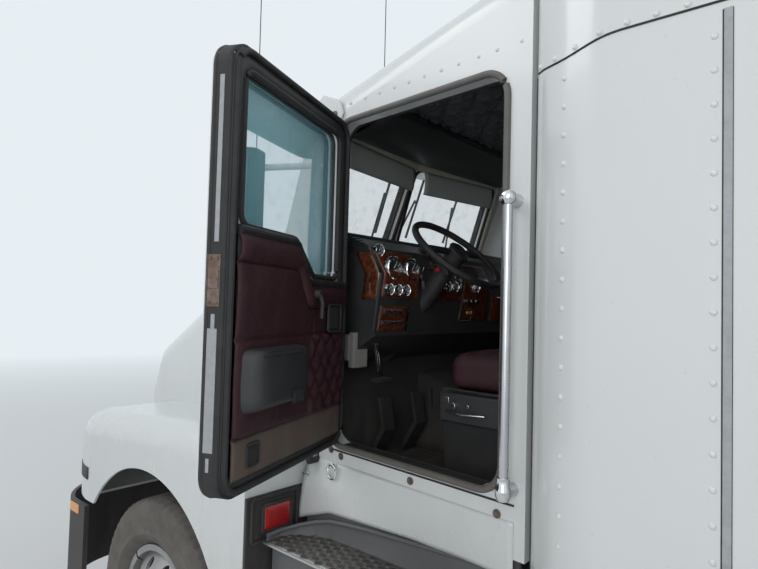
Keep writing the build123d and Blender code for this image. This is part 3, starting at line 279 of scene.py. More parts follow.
@dataclass(frozen=True)
class Finish:
    """A solid finish with patches of a second tone, grain, and road dirt that fades upwards."""

    name: str
    colour: Colour
    patch: Colour
    roughness: float
    metallic: float = 0.0
    coat: float = 0.0
    patch_size: float = 0.25
    patch_share: float = 0.5
    grain_size: float = 0.002
    grain_depth: float = 0.0002
    stretch: Triple = (1, 1, 1)
    dirt: float = 0.3
    dirt_colour: Colour = (0.2, 0.17, 0.14)
    dirt_low: float = -1.1
    dirt_high: float = 0.3
    speckle: float = 0.0
    speckle_colour: Colour = (0.16, 0.08, 0.04)
    slot: str = "black_plastic"

    def build(self) -> Material:
        """Build the material."""
        s = Shade(self.name)
        patches = s.step(s.noise(self.patch_size, 6.0, self.stretch), *PATCH_RAMP) * self.patch_share
        tone = s.mix(patches, self.colour, self.patch)
        height = s.node("SeparateXYZ", {}, {0: s.place()}, 2)
        low = 1.0 - s.step(height, self.dirt_low, self.dirt_high)
        streaks = s.step(s.noise(STREAK_SIZE, 5.0, (1, 1, 0.25)), *STREAK_RAMP)
        grime = s.maths("MULTIPLY", low * self.dirt, 0.35 + streaks, True)
        tone = s.mix(grime, tone, self.dirt_colour)
        if self.speckle:
            chips = s.step(s.noise(CHIP_SIZE, 3.0), *CHIP_RAMP) * self.speckle
            tone = s.mix(chips, tone, self.speckle_colour)
        grain = s.noise(self.grain_size, 3.0, self.stretch)
        rough = s.maths("ADD", self.roughness + grime * 0.35, (patches - 0.25) * 0.12, True)
        return s.surface({"Base Color": tone, "Roughness": rough, "Metallic": self.metallic,
                          "Coat Weight": self.coat, "Coat Roughness": 0.08}, grain, self.grain_depth)


@dataclass(frozen=True)
class Glass:
    """Thin window glass with a light tint and faint dust."""

    name: str
    tint: Colour
    alpha: float

    def build(self) -> Material:
        """Build the material."""
        s = Shade(self.name)
        dust = s.step(s.noise(0.06, 6.0), 0.5, 0.8)
        material = s.surface(
            {"Base Color": s.mix(dust * 0.35, self.tint, (0.75, 0.75, 0.72)), "Roughness": 0.03 + dust * 0.12,
             "Metallic": 0.0, "Alpha": self.alpha + dust * 0.1, "IOR": 1.45})
        material.blend_method = "BLEND"
        return material


@dataclass(frozen=True)
class Burl:
    """Polished burl wood with swirled dark figure."""

    name: str = "burl_wood"
    slot: str = "vinyl"

    def build(self) -> Material:
        """Build the material."""
        s = Shade(self.name)
        swirl = s.node("TexNoise", {}, {"Vector": s.place(), "Scale": 22.0, "Detail": 8.0, "Distortion": 2.6})
        tone = s.node(
            "ValToRGB", {"stops": ((0.3, (0.018, 0.006, 0.004)), (0.48, (0.105, 0.027, 0.012)),
                                   (0.62, (0.2, 0.06, 0.02)), (0.8, (0.045, 0.014, 0.007)))}, {"Fac": swirl})
        return s.surface({"Base Color": tone, "Roughness": 0.28, "Coat Weight": 0.6}, swirl, 0.0002)


@dataclass(frozen=True)
class Vinyl:
    """Soft vinyl with leather grain, creases and worn tones, and painted shade in the grain's valleys."""

    name: str
    colour: Colour
    worn: Colour
    roughness: float = 0.45
    slot: str = "vinyl"

    def build(self) -> Material:
        """Build the material."""
        s = Shade(self.name)
        cells = s.node("TexVoronoi", {"feature": "DISTANCE_TO_EDGE"}, {"Vector": s.place(), "Scale": 520.0})
        pebble = s.step(cells, 0.0, 0.25)
        creases = s.step(s.noise(0.035, 5.0), 0.42, 0.62)
        tone = s.mix(s.step(s.noise(0.12, 5.0), 0.45, 0.75) * 0.55, self.colour, self.worn)
        # Painted shade: the valleys between the grain's pebbles are darkened.
        tone = s.mix((1.0 - pebble) * 0.35, tone, (0.02, 0.01, 0.012))
        return s.surface({"Base Color": tone, "Roughness": self.roughness + creases * 0.12},
                         pebble * 0.35 + creases * 0.65, 0.0012)


@dataclass(frozen=True)
class Lens:
    """A moulded lamp lens with fine ribs."""

    name: str
    colour: Colour
    slot: str = ""

    def build(self) -> Material:
        """Build the material."""
        s = Shade(self.name)
        ribs = s.node("TexWave", {"bands_direction": "Z"}, {"Vector": s.place(), "Scale": 48.0})
        return s.surface({"Base Color": s.mix(ribs * 0.35, self.colour, tuple(c * 0.55 for c in self.colour)),
                          "Roughness": 0.16, "Coat Weight": 0.8}, ribs, 0.0006)


Look = Finish | Glass | Burl | Vinyl | Lens
WHITE = Finish("white_paint", (0.735, 0.755, 0.745), (0.66, 0.68, 0.67), 0.27, coat=0.35, patch_size=0.7,
               patch_share=0.35, grain_size=0.006, grain_depth=0.00008, speckle=0.35,
               speckle_colour=(0.45, 0.44, 0.4), slot="white_paint")
FRAME_BLACK = Finish("frame_paint", (0.035, 0.035, 0.038), (0.075, 0.07, 0.065), 0.55, dirt=0.8, speckle=0.8)
CASTING = Finish("casting", (0.045, 0.045, 0.05), (0.1, 0.09, 0.08), 0.7, metallic=0.2, grain_size=0.004,
                 grain_depth=0.0008, dirt=0.9, speckle=0.7, slot="frame_paint")
WHEEL_GREY = Finish("wheel_grey", (0.4, 0.41, 0.41), (0.3, 0.3, 0.29), 0.42, metallic=0.35, dirt=0.55,
                    patch_size=0.09, speckle=0.8, grain_size=0.003)
ALLOY = Finish("bright_alloy", (0.62, 0.63, 0.64), (0.45, 0.45, 0.46), 0.3, metallic=0.95, patch_size=0.1,
               grain_size=0.0016, stretch=(0.1, 1, 1), dirt=0.35, grain_depth=0.00005, slot="polished")
CHROME = Finish("chrome_trim", (0.78, 0.79, 0.8), (0.6, 0.61, 0.62), 0.12, metallic=1.0, patch_size=0.05,
                grain_depth=0.00002, dirt=0.15, slot="chrome_trim")
TYRE = Finish(
    "tyre_rubber", (0.095, 0.088, 0.08), (0.2, 0.185, 0.17), 0.85, patch_size=0.08, grain_size=0.004,
    grain_depth=0.0004, dirt=0.75, dirt_low=-1.3, dirt_high=0.2, slot="tyre_rubber")
RUBBER = Finish("seal_rubber", (0.022, 0.022, 0.023), (0.055, 0.052, 0.05), 0.72, patch_size=0.06,
                grain_size=0.003, dirt=0.25, slot="black_rubber")
PLASTIC = Finish("black_plastic", (0.03, 0.03, 0.032), (0.055, 0.054, 0.052), 0.55, patch_size=0.12,
                 grain_size=0.0014, grain_depth=0.00035, dirt=0.35)
DARK_GREY = Finish("grey_fairing", (0.12, 0.125, 0.13), (0.18, 0.18, 0.18), 0.55, grain_size=0.003,
                   grain_depth=0.0004, dirt=0.6, dirt_high=0.1)
LINER = Finish("grey_liner", (0.3, 0.29, 0.27), (0.22, 0.21, 0.2), 0.9, grain_depth=0.0006, dirt=0.2)
MAT = Finish("floor_mat", (0.018, 0.018, 0.019), (0.045, 0.04, 0.036), 0.9, grain_size=0.004,
             grain_depth=0.0012, dirt=0.6, dirt_low=-0.5, dirt_high=0.5)
GRIMY = Finish("grimy_kick", (0.085, 0.052, 0.04), (0.13, 0.095, 0.07), 0.8, patch_size=0.12,
               grain_size=0.0016, grain_depth=0.0006, dirt=0.7, dirt_low=-0.2, dirt_high=0.9, slot="vinyl")
CLOTH = Finish("bunk_cloth", (0.1, 0.1, 0.115), (0.15, 0.15, 0.16), 0.95, grain_size=0.0015,
               grain_depth=0.0008, dirt=0.0, slot="dark_fabric")
# Grey of the door's edge strip; on the sleeper the same grey is painted shade where the panels overlap.
GREY_EDGE_AND_SHADE_BAND = Finish("edge_strip", (0.4, 0.42, 0.43), (0.28, 0.29, 0.29), 0.5, patch_size=0.02, slot="polished")
RUST = Finish("rusty_steel", (0.16, 0.1, 0.07), (0.34, 0.33, 0.32), 0.6, metallic=0.6, patch_size=0.02,
              grain_depth=0.0005, slot="polished")
DIAL = Finish("dial_face", (0.02, 0.02, 0.022), (0.03, 0.03, 0.03), 0.4, dirt=0.0)
PALE = Finish("pale_mark", (0.75, 0.75, 0.7), (0.6, 0.6, 0.56), 0.5, dirt=0.0)
BEAD = Finish("opening_bead", (0.14, 0.135, 0.125), (0.09, 0.087, 0.08), 0.6, patch_size=0.12,
              grain_size=0.003, dirt=0.5, dirt_low=0.0, dirt_high=1.0, slot="black_rubber")
MIRROR = Finish("mirror_face", (0.075, 0.09, 0.095), (0.06, 0.07, 0.075), 0.05, metallic=1.0,
                patch_size=0.05, grain_depth=0.0, dirt=0.1, slot="polished")
BEIGE = Finish("beige_liner", (0.6, 0.57, 0.48), (0.5, 0.48, 0.41), 0.8, dirt=0.2)
VISOR = Finish("visor_cloth", (0.5, 0.54, 0.5), (0.42, 0.45, 0.42), 0.85, dirt=0.1, slot="vinyl")
# The tread's dark grey is painted shade: the bare alloy plate is light, and its colour is darkened to the
# shade that falls on it.
SHADED_TREAD = Finish("shaded_tread_alloy", (0.27, 0.27, 0.26), (0.19, 0.185, 0.175), 0.42, metallic=0.8,
               patch_size=0.06, grain_size=0.003, dirt=0.5, dirt_high=0.2, slot="polished")
RUSTY_NUT = Finish("wheel_nut", (0.3, 0.26, 0.22), (0.2, 0.13, 0.09), 0.55, metallic=0.6,
                   patch_size=0.03, dirt=0.5, slot="steel_grey")
# The burgundy is the vinyl's own dark colour, darkened further as painted shade for the shaded cab.
SHADED_BURGUNDY = Vinyl("shaded_burgundy_vinyl", (0.042, 0.008, 0.014), (0.078, 0.022, 0.026))
BLACK_VINYL = Vinyl("black_vinyl", (0.02, 0.02, 0.022), (0.05, 0.048, 0.046), 0.38)
# The quilt's grey is painted sheen: the liner is black vinyl, lightened to stand for highlights that the
# lamps don't reach.
QUILT_PAINTED_SHEEN = Vinyl("quilt_vinyl_painted_sheen", (0.12, 0.12, 0.13), (0.18, 0.18, 0.185), 0.22)
WOOD = Burl()
CLEAR = Glass("clear_glass", (0.8, 0.9, 0.92), 0.14)
# The door glass's strong blue is partly its own tint and partly painted sky, standing for the blue sky seen
# through it.
SKY_TINTED_GLASS = Glass("sky_tinted_glass", (0.38, 0.82, 0.92), 0.26)
AMBER = Lens("amber_lens", (0.9, 0.33, 0.04), "amber_lens")
RED = Lens("red_lens", (0.5, 0.02, 0.02), "red_lens")
HEADLAMP = Lens("headlamp_lens", (0.8, 0.82, 0.84))

_built: dict[str, Material] = {}


def material(finish: Look) -> Material:
    """The material of a finish, built once."""
    if finish.name not in _built:
        _built[finish.name] = finish.build()
    return _built[finish.name]


def stand(name: str, data: ID) -> Object:
    """A new object in the scene, made of its data."""
    made = bpy.data.objects.new(name, data)
    bpy.context.scene.collection.objects.link(made)
    return made


class Shape:
    """Mesh code for one piece: faces are gathered, then made an object that rides on a body."""

    def __init__(self) -> None:
        """Start with no faces."""
        self.mesh = bmesh.new()

    def box(self, low: Point, high: Point) -> "Shape":
        """Add a block between two corners."""
        made = bmesh.ops.create_cube(self.mesh, size=1.0)["verts"]
        size = [abs(b - a) for a, b in zip(low, high)]
        middle = [(a + b) / 2 for a, b in zip(low, high)]
        for v in made:
            v.co = Vector([m + c * s for m, c, s in zip(middle, v.co, size)])
        return self

    def rod(self, start: Point, end: Point, radius: float, sides: int = 16,
            tip: float | None = None) -> "Shape":
        """Add a round bar from start to end, with another radius at its tip if one is given."""
        a, b = Vector(start), Vector(end)
        along = b - a
        turn = along.to_track_quat("Z", "Y").to_matrix().to_4x4()
        bmesh.ops.create_cone(
            self.mesh, cap_ends=True, segments=sides, radius1=radius, radius2=radius if tip is None else tip,
            depth=along.length, matrix=Matrix.Translation((a + b) / 2) @ turn)
        return self

    def tube(self, points: Sequence[Point], radius: float, sides: int = 8, closed: bool = False) -> "Shape":
        """Add a round tube along points."""
        path = [Vector(p) for p in points]
        count = len(path)
        rings = []
        for i, p in enumerate(path):
            before = path[i - 1] if closed or i else path[0]
            after = path[(i + 1) % count] if closed or i < count - 1 else path[-1]
            along = (after - before).normalized()
            guide = Vector((0, 0, 1)) if abs(along.z) < 0.9 else Vector((1, 0, 0))
            u = along.cross(guide).normalized()
            w = u.cross(along)
            rings.append([self.mesh.verts.new(p + u * radius * cos(t) + w * radius * sin(t))
                          for t in (2 * pi * k / sides for k in range(sides))])
        for i in range(count if closed else count - 1):
            a, b = rings[i], rings[(i + 1) % count]
            shift = 0
            if closed and i == count - 1:
                shift = min(range(sides), key=lambda s: (b[s].co - a[0].co).length)
            for k in range(sides):
                m = (k + 1) % sides
                self.mesh.faces.new((a[k], a[m], b[(m + shift) % sides], b[(k + shift) % sides]))
        if not closed:
            self.mesh.faces.new(rings[0])
            self.mesh.faces.new(reversed(rings[-1]))
        return self

    def loop(self, points: Sequence[Point], radius: float, sides: int = 8) -> "Shape":
        """Add a round tube along points and back to the first."""
        return self.tube(points, radius, sides, closed=True)

    def grid(self, place: Callable[[float, float], Point], across: int, along: int,
             wrap: bool = False) -> "Shape":
        """Add a surface place(u, v) with u and v from 0 to 1; wrap closes it in v."""
        width = along if wrap else along + 1
        rows = [[self.mesh.verts.new(place(i / across, j / along)) for j in range(width)]
                for i in range(across + 1)]
        for near, far in zip(rows, rows[1:]):
            for j in range(along):
                k = (j + 1) % width
                self.mesh.faces.new((near[j], far[j], far[k], near[k]))
        return self

    def lathe(self, profile: Outline, centre: Point, axis: Point, segments: int = 48) -> "Shape":
        """Add a turned form: profile holds (distance along axis, radius)."""
        n = Vector(axis).normalized()
        u = n.orthogonal().normalized()
        w = n.cross(u)
        c = Vector(centre)

        def place(a: float, b: float) -> Vector:
            """Point on the turned surface."""
            along, radius = profile[round(a * (len(profile) - 1))]
            t = 2 * pi * b
            return c + n * along + u * radius * cos(t) + w * radius * sin(t)

        return self.grid(place, len(profile) - 1, segments, wrap=True)

    def piece(self, name: str, finish: Look, body: str = "chassis", slot: str | None = None,
              smooth: float = 35.0, turn: Matrix | None = None, bevel: float = 0.0,
              thick: float = 0.0) -> Object:
        """Make the object and let it ride.

        Args:
            name: the piece's name.
            finish: what it is made of.
            body: the body that it rides on.
            slot: a material slot name, where it isn't the finish's own; not used.
            smooth: edges under this many degrees are smooth.
            turn: a matrix for the finished mesh, such as an open door's.
            bevel: width of a bevel on sharp edges.
            thick: thickness given to an open sheet.

        Returns:
            The object.
        """
        bmesh.ops.remove_doubles(self.mesh, verts=self.mesh.verts, dist=1e-5)
        bmesh.ops.recalc_face_normals(self.mesh, faces=self.mesh.faces)
        data = bpy.data.meshes.new(name)
        if turn is not None:
            self.mesh.transform(turn)
        self.mesh.to_mesh(data)
        self.mesh.free()
        data.shade_smooth()
        data.set_sharp_from_angle(angle=radians(smooth))
        data.materials.append(material(finish))
        thing = stand(name, data)
        if thick:
            solid = thing.modifiers.new("thick", "SOLIDIFY")
            solid.thickness = thick
            solid.offset = 0.0
        if bevel:
            edge = thing.modifiers.new("edges", "BEVEL")
            edge.width = bevel
            edge.segments = 2
            edge.limit_method = "ANGLE"
            edge.angle_limit = radians(40)
        slot = slot or finish.slot
        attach(thing, body)
        log.info("made %s", name)
        return thing


class Head(Enum):
    """Form of a repeated small part."""

    RIVET = "rivet"
    NUT = "nut"
    DISC = "disc"


class Studs:
    """Small parts repeated on given points by a Geometry Nodes tree."""

    def __init__(self) -> None:
        """Build one tree for each form."""
        self.trees = {head: self._tree(head) for head in Head}

    def _tree(self, head: Head) -> NodeTree:
        """The tree that puts a head on every point, facing one way.

        Args:
            head: the form that is repeated.

        Returns:
            The node group, with Radius, Height, Facing and Finish as inputs.
        """
        tree = bpy.data.node_groups.new("studs_" + head.value, "GeometryNodeTree")
        for name, kind in (("Geometry", "Geometry"), ("Radius", "Float"), ("Height", "Float"),
                           ("Facing", "Vector"), ("Finish", "Material")):
            tree.interface.new_socket(name, in_out="INPUT", socket_type="NodeSocket" + kind)
        tree.interface.new_socket("Geometry", in_out="OUTPUT", socket_type="NodeSocketGeometry")
        start = grow(tree, "NodeGroupInput")
        if head is Head.RIVET:
            ball = grow(tree, "GeometryNodeMeshUVSphere",
                        {"Segments": 10, "Rings": 6, "Radius": start["Radius"]})
            ratio = grow(tree, "ShaderNodeMath", {0: start["Height"], 1: start["Radius"]}, operation="DIVIDE")
            scale = grow(tree, "ShaderNodeCombineXYZ", {0: 1.0, 1: 1.0, 2: ratio[0]})
            form = grow(tree, "GeometryNodeTransform", {"Geometry": ball["Mesh"], "Scale": scale[0]})
        else:
            sides = 6 if head is Head.NUT else 18
            form = grow(tree, "GeometryNodeMeshCylinder",
                        {"Vertices": sides, "Radius": start["Radius"], "Depth": start["Height"]})
        turn = grow(tree, "FunctionNodeAlignRotationToVector", {"Vector": start["Facing"]}, axis="Z")
        points = grow(tree, "GeometryNodeMeshToPoints", {"Mesh": start["Geometry"]})
        spread = grow(tree, "GeometryNodeInstanceOnPoints",
                      {"Points": points[0], "Instance": form[0], "Rotation": turn[0]})
        real = grow(tree, "GeometryNodeRealizeInstances", {"Geometry": spread[0]})
        paint = grow(tree, "GeometryNodeSetMaterial", {"Geometry": real[0], "Material": start["Finish"]})
        grow(tree, "NodeGroupOutput", {"Geometry": paint[0]})
        return tree

    def spread(self, shape: Shape, points: Iterable[Point], facing: Point, head: Head, radius: float,
               height: float, finish: Finish) -> None:
        """Add the tree's parts on points to a shape.

        Args:
            shape: what they are added to.
            points: where the parts go.
            facing: the way that their axes point.
            head: their form.
            radius: their radius.
            height: their height or, for a nut or disc, their whole depth.
            finish: what they are made of.
        """
        base = bpy.data.meshes.new("points")
        base.from_pydata([tuple(p) for p in points], [], [])
        carrier = stand("points", base)
        modifier = carrier.modifiers.new("studs", "NODES")
        modifier.node_group = self.trees[head]
        wanted = {"Radius": radius, "Height": height, "Facing": tuple(facing), "Finish": material(finish)}
        for item in modifier.node_group.interface.items_tree:
            if item.in_out == "INPUT" and item.name in wanted:
                modifier[item.identifier] = wanted[item.name]
        carrier.update_tag()
        graph = bpy.context.evaluated_depsgraph_get()
        plain = bpy.data.meshes.new_from_object(carrier.evaluated_get(graph))
        bpy.data.objects.remove(carrier)
        shape.mesh.from_mesh(plain)
        bpy.data.meshes.remove(plain)

    def add(self, name: str, finish: Finish,
            rows: Sequence[tuple[Iterable[Point], Point, Head, float, float]],
            body: str = "chassis", slot: str | None = None) -> Object:
        """Make one piece of several rows of parts.

        Args:
            name: the piece's name.
            finish: what the parts are made of.
            rows: points, facing, head, radius and height of each row.
            body: the body that it rides on.
            slot: a material slot name, where it isn't the finish's own, handed to the piece.

        Returns:
            The object.
        """
        shape = Shape()
        for row in rows:
            self.spread(shape, *row, finish)
        return shape.piece(name, finish, body, slot, smooth=40.0)


def line(start: Point, end: Point, count: int) -> list[Vector]:
    """Evenly spaced points from start to end."""
    a, b = Vector(start), Vector(end)
    return [a.lerp(b, i / (count - 1)) for i in range(count)]


def ring(centre: Point, radius: float, count: int, axis: str = "Y") -> list[Vector]:
    """Points on a circle square to a row axis."""
    c = Vector(centre)
    made = []
    for i in range(count):
        t = 2 * pi * i / count
        a, b = radius * cos(t), radius * sin(t)
        made.append(c + {"X": Vector((0, a, b)), "Y": Vector((a, 0, b)), "Z": Vector((a, b, 0))}[axis])
    return made


def around(base: Vector, *offsets: Point) -> list[Vector]:
    """Points at offsets from a base."""
    return [base + Vector(off) for off in offsets]


def rounded(x0: float, x1: float, z0: float, z1: float, corner: float, steps: int = 8) -> list[Pair]:
    """A rounded rectangle's outline, counter-clockwise from its lower right."""
    made = []
    for cx, cz, begin in ((x1 - corner, z0 + corner, -90), (x1 - corner, z1 - corner, 0),
                          (x0 + corner, z1 - corner, 90), (x0 + corner, z0 + corner, 180)):
        for i in range(steps + 1):
            t = radians(begin + 90 * i / steps)
            made.append((cx + corner * cos(t), cz + corner * sin(t)))
    return dense(made, 0.12)


def door_outline(inset: float, corner: float, steps: int = 8) -> list[Pair]:
    """The door opening's outline, smaller by an inset."""
    return rounded(DOOR_REAR + inset, DOOR_FRONT - inset, DOOR_LOW + inset, DOOR_TOP - inset, corner, steps)


def soften(corners: Outline, radius: float, steps: int = 6) -> list[Pair]:
    """An outline with its corners rounded."""
    made = []
    for i, (x, z) in enumerate(corners):
        before, after = corners[i - 1], corners[(i + 1) % len(corners)]
        a = Vector((before[0] - x, before[1] - z)).normalized()
        b = Vector((after[0] - x, after[1] - z)).normalized()
        reach = radius / tan(a.angle(b) / 2)
        start, end, tip = Vector((x, z)) + a * reach, Vector((x, z)) + b * reach, Vector((x, z))
        for k in range(steps + 1):
            t = k / steps
            p = start.lerp(tip, t).lerp(tip.lerp(end, t), t)
            made.append((p.x, p.y))
    return dense(made, 0.1)


def dense(points: Outline, step: float) -> list[Pair]:
    """Close outline with points added on runs longer than step."""
    made = []
    for i, (x, z) in enumerate(points):
        nx, nz = points[(i + 1) % len(points)]
        count = max(1, ceil(hypot(nx - x, nz - z) / step))
        made += [(x + (nx - x) * k / count, z + (nz - z) * k / count) for k in range(count)]
    return made


def evenly(outline: Outline, count: int) -> list[Pair]:
    """Resample a close outline to evenly spaced points."""
    lengths = [dist(outline[i], outline[(i + 1) % len(outline)]) for i in range(len(outline))]
    total, made, i, passed = sum(lengths), [], 0, 0.0
    for k in range(count):
        want = total * k / count
        while passed + lengths[i] < want:
            passed += lengths[i]
            i += 1
        t = (want - passed) / lengths[i]
        a, b = outline[i], outline[(i + 1) % len(outline)]
        made.append((a[0] + (b[0] - a[0]) * t, a[1] + (b[1] - a[1]) * t))
    return made


STUDS = Studs()


def even_out(thing: Object) -> None:
    """Shade large flat faces evenly by weighted normals."""
    even = thing.modifiers.new("even", "WEIGHTED_NORMAL")
    even.weight = 100
    even.keep_sharp = True


def hung(side: int) -> Matrix:
    """Matrix that swings a door piece, made closed, to where its door rests."""
    if side < 0:
        return Matrix.Identity(4)
    pin = Vector((HINGE_X, side_y(HINGE_X) + HINGE_OUT, 0))
    swing = Matrix.Rotation(radians(-OPEN_ANGLE), 4, "Z")
    return Matrix.Translation(pin) @ swing @ Matrix.Translation(-pin)


@dataclass
class Cab:
    """Outside of the cab: seals, rivets, gaskets, wipers, marker lamps, antenna and sills."""

    rivet_z: float = 1.592
    rivet_radius: float = 0.0075
    rivets_x: tuple[float, ...] = (3.7, 3.79, 3.862, 3.945, 4.02, 4.1, 4.175, 4.25, 4.33, 4.41, 4.5)
    bolts_xz: Pairs = ((3.759, 0.139), (4.12, 0.152), (4.497, 0.159), (4.56, 0.175), (4.545, 0.075))
    forward_share: float = 0.093
    seal_radius: float = 0.012
    pane_edges: tuple[float, float, float, float] = (0.034, 0.745, 0.045, 0.512)
    lamps_y: tuple[float, ...] = (-0.6, -0.22, 0.0, 0.22, 0.6)
    bracket: Pairs = (
        (4.535, 1.56), (4.56, 1.512), (4.64, 1.492), (4.735, 1.54), (4.775, 1.6), (4.67, 1.665),
        (4.56, 1.618))

    def opening(self, side: int, margin: float, depth: float) -> list[Vector]:
        """The door opening's outline, larger by margin, at a depth inside the skin."""
        outline = door_outline(-margin, DOOR_CORNER + margin)
        return [Vector((x, side * (side_y(x) - depth), z)) for x, z in outline]

    def seals(self) -> None:
        """Rubber round each door opening, a light outer bead and a black lip behind it."""
        for side, word in SIDES:
            outer = Shape().loop(self.opening(side, 0.0045, -0.002), self.seal_radius, 10)
            outer.piece("opening_bead_" + word, BEAD)
            lip = Shape().loop(self.opening(side, 0.004, 0.07), 0.008)
            lip.piece("opening_lip_" + word, RUBBER)

    def rivets(self) -> None:
        """Rivets above the doors, and washered bolts under the sills."""
        rows, bolts, washers = [], [], []
        for side in (1, -1):
            facing = (self.forward_share, side, 0)
            top = [(x, side * (side_y(x) - 0.001), self.rivet_z) for x in self.rivets_x]
            rows.append((top, facing, Head.RIVET, self.rivet_radius, 0.005))
            low = [(x, side * side_y(x), z) for x, z in self.bolts_xz]
            bolts.append((low, facing, Head.NUT, 0.008, 0.014))
            washers.append((low, facing, Head.DISC, 0.014, 0.006))
        STUDS.add("cab_rivets", WHITE, rows)
        STUDS.add("sill_bolts", RUST, bolts + washers)

    def screen(self) -> None:
        """Gaskets round the two panes, and the parked wipers."""
        gasket = Shape()
        outline = rounded(*self.pane_edges, 0.055)
        for side in (1, -1):
            for depth, radius in ((0.0, 0.012), (-0.02, 0.009), (-0.058, 0.01)):
                gasket.loop([pane(side, a, b, depth) for a, b in outline], radius)
        gasket.piece("screen_gaskets", RUBBER)
        arms = Shape()
        for side, foot, head in ((1, 0.1, 0.13), (1, 0.56, 0.6), (-1, 0.1, 0.17), (-1, 0.56, 0.5)):
            elbow, tip = pane(side, foot, 0.045, 0.04), pane(side, head, 0.33, 0.03)
            arms.rod(pane(side, foot, 0.015, 0.01), elbow, 0.012)
            arms.tube([elbow, tip], 0.006)
            arms.tube([pane(side, head - 0.01, 0.1, 0.014), pane(side, head + 0.012, 0.46, 0.014)], 0.007)
            arms.tube([tip, pane(side, head, 0.31, 0.014)], 0.005)
        arms.piece("wipers", PLASTIC)

    def roof(self) -> None:
        """Five marker lamps, the visor's end brackets and a whip antenna on the roof."""
        lamps, feet = Shape(), Shape()
        upward = (0.2, 0, 1)
        for out in self.lamps_y:
            x = 4.69 - abs(out) * 0.14
            place = (x, out, roof_z(x))
            feet.lathe(((-0.012, 0.036), (0.006, 0.036), (0.01, 0.031)), place, upward, 20)
            lamps.lathe(((0.006, 0.03), (0.026, 0.025), (0.036, 0.012), (0.038, 0.0005)), place, upward, 20)
        feet.piece("marker_feet", CHROME)
        lamps.piece("marker_lamps", AMBER)
        brackets = Shape()
        bolts = []
        for side in (1, -1):
            y = side * (side_y(4.62) + 0.004)
            back, face = ([brackets.mesh.verts.new((x, side * (side_y(x) + 0.002 + depth), z))
                           for x, z in self.bracket] for depth in (0.0, 0.01))
            brackets.mesh.faces.new(back)
            brackets.mesh.faces.new(face)
            for i in range(len(back)):
                k = (i + 1) % len(back)
                brackets.mesh.faces.new((back[i], back[k], face[k], face[i]))
            bolts.append(([(4.585, y + side * 0.012, 1.562), (4.655, y + side * 0.006, 1.58)], (0, side, 0),
                          Head.NUT, 0.014, 0.012))
        brackets.piece("visor_brackets", WHITE, bevel=0.004)
        STUDS.add("visor_bolts", RUST, bolts)
        foot = Vector((4.73, 0.409, 1.676))
        whip = Shape().rod(*around(foot, (0, 0, -0.01), (0, 0, 0.05)), 0.016, 16, 0.007)
        whip.tube(around(foot, (0, 0, 0.04), (0, 0.002, 0.35), (0, 0.004, 0.7)), 0.0022, 6)
        whip.piece("roof_antenna", PLASTIC)

    def sill(self) -> None:
        """Ribbed rubber on each sill, the grab handles' end sockets and the panel seam under it."""
        for side, word in SIDES:
            plate = Shape()
            for row, width, rise in ((0.0, 0.058, 0.0011), (0.01, 0.004, 0.0019), (0.022, 0.004, 0.0019),
                                     (0.034, 0.004, 0.0019), (0.046, 0.004, 0.0019)):
                plate.grid(lambda u, v: (
                    3.83 + 0.67 * u, side * (side_y(3.83 + 0.67 * u) - 0.002 - row - width * v),
                    DOOR_LOW + rise + 0.0001 * sin(40 * u)), 24, 2)
            plate.piece("sill_rubber_" + word, RUBBER, thick=0.0009)
            middle = (3.705, side * (side_y(3.705) + 0.06))
            ball = [(0.026 * sin(t), 0.026 * max(0.02, cos(t)))
                    for t in (radians(-90 + 15 * k) for k in range(13))]
            socket = ((-0.022, 0.0006), (-0.02, 0.019), (-0.006, 0.024), (0.014, 0.024), (0.02, 0.0205),
                      (0.046, 0.02), (0.047, 0.0155))
            ends = Shape().lathe(ball, (*middle, 1.096), (0, 0, 1), 24)
            ends.lathe(socket, (*middle, 0.227), (0, 0, 1), 24)
            ends.piece("handle_ends_" + word, CHROME, smooth=60.0)
            seam = Shape()
            seam.tube([(x, side * (side_y(x) + 0.001), 0.178) for x in (3.7, 4.0, 4.3, 4.56)], 0.0035, 6)
            seam.piece("sill_seam_" + word, RUBBER)

    def build(self) -> None:
        """Make every piece."""
        self.seals()
        self.rivets()
        self.screen()
        self.roof()
        self.sill()


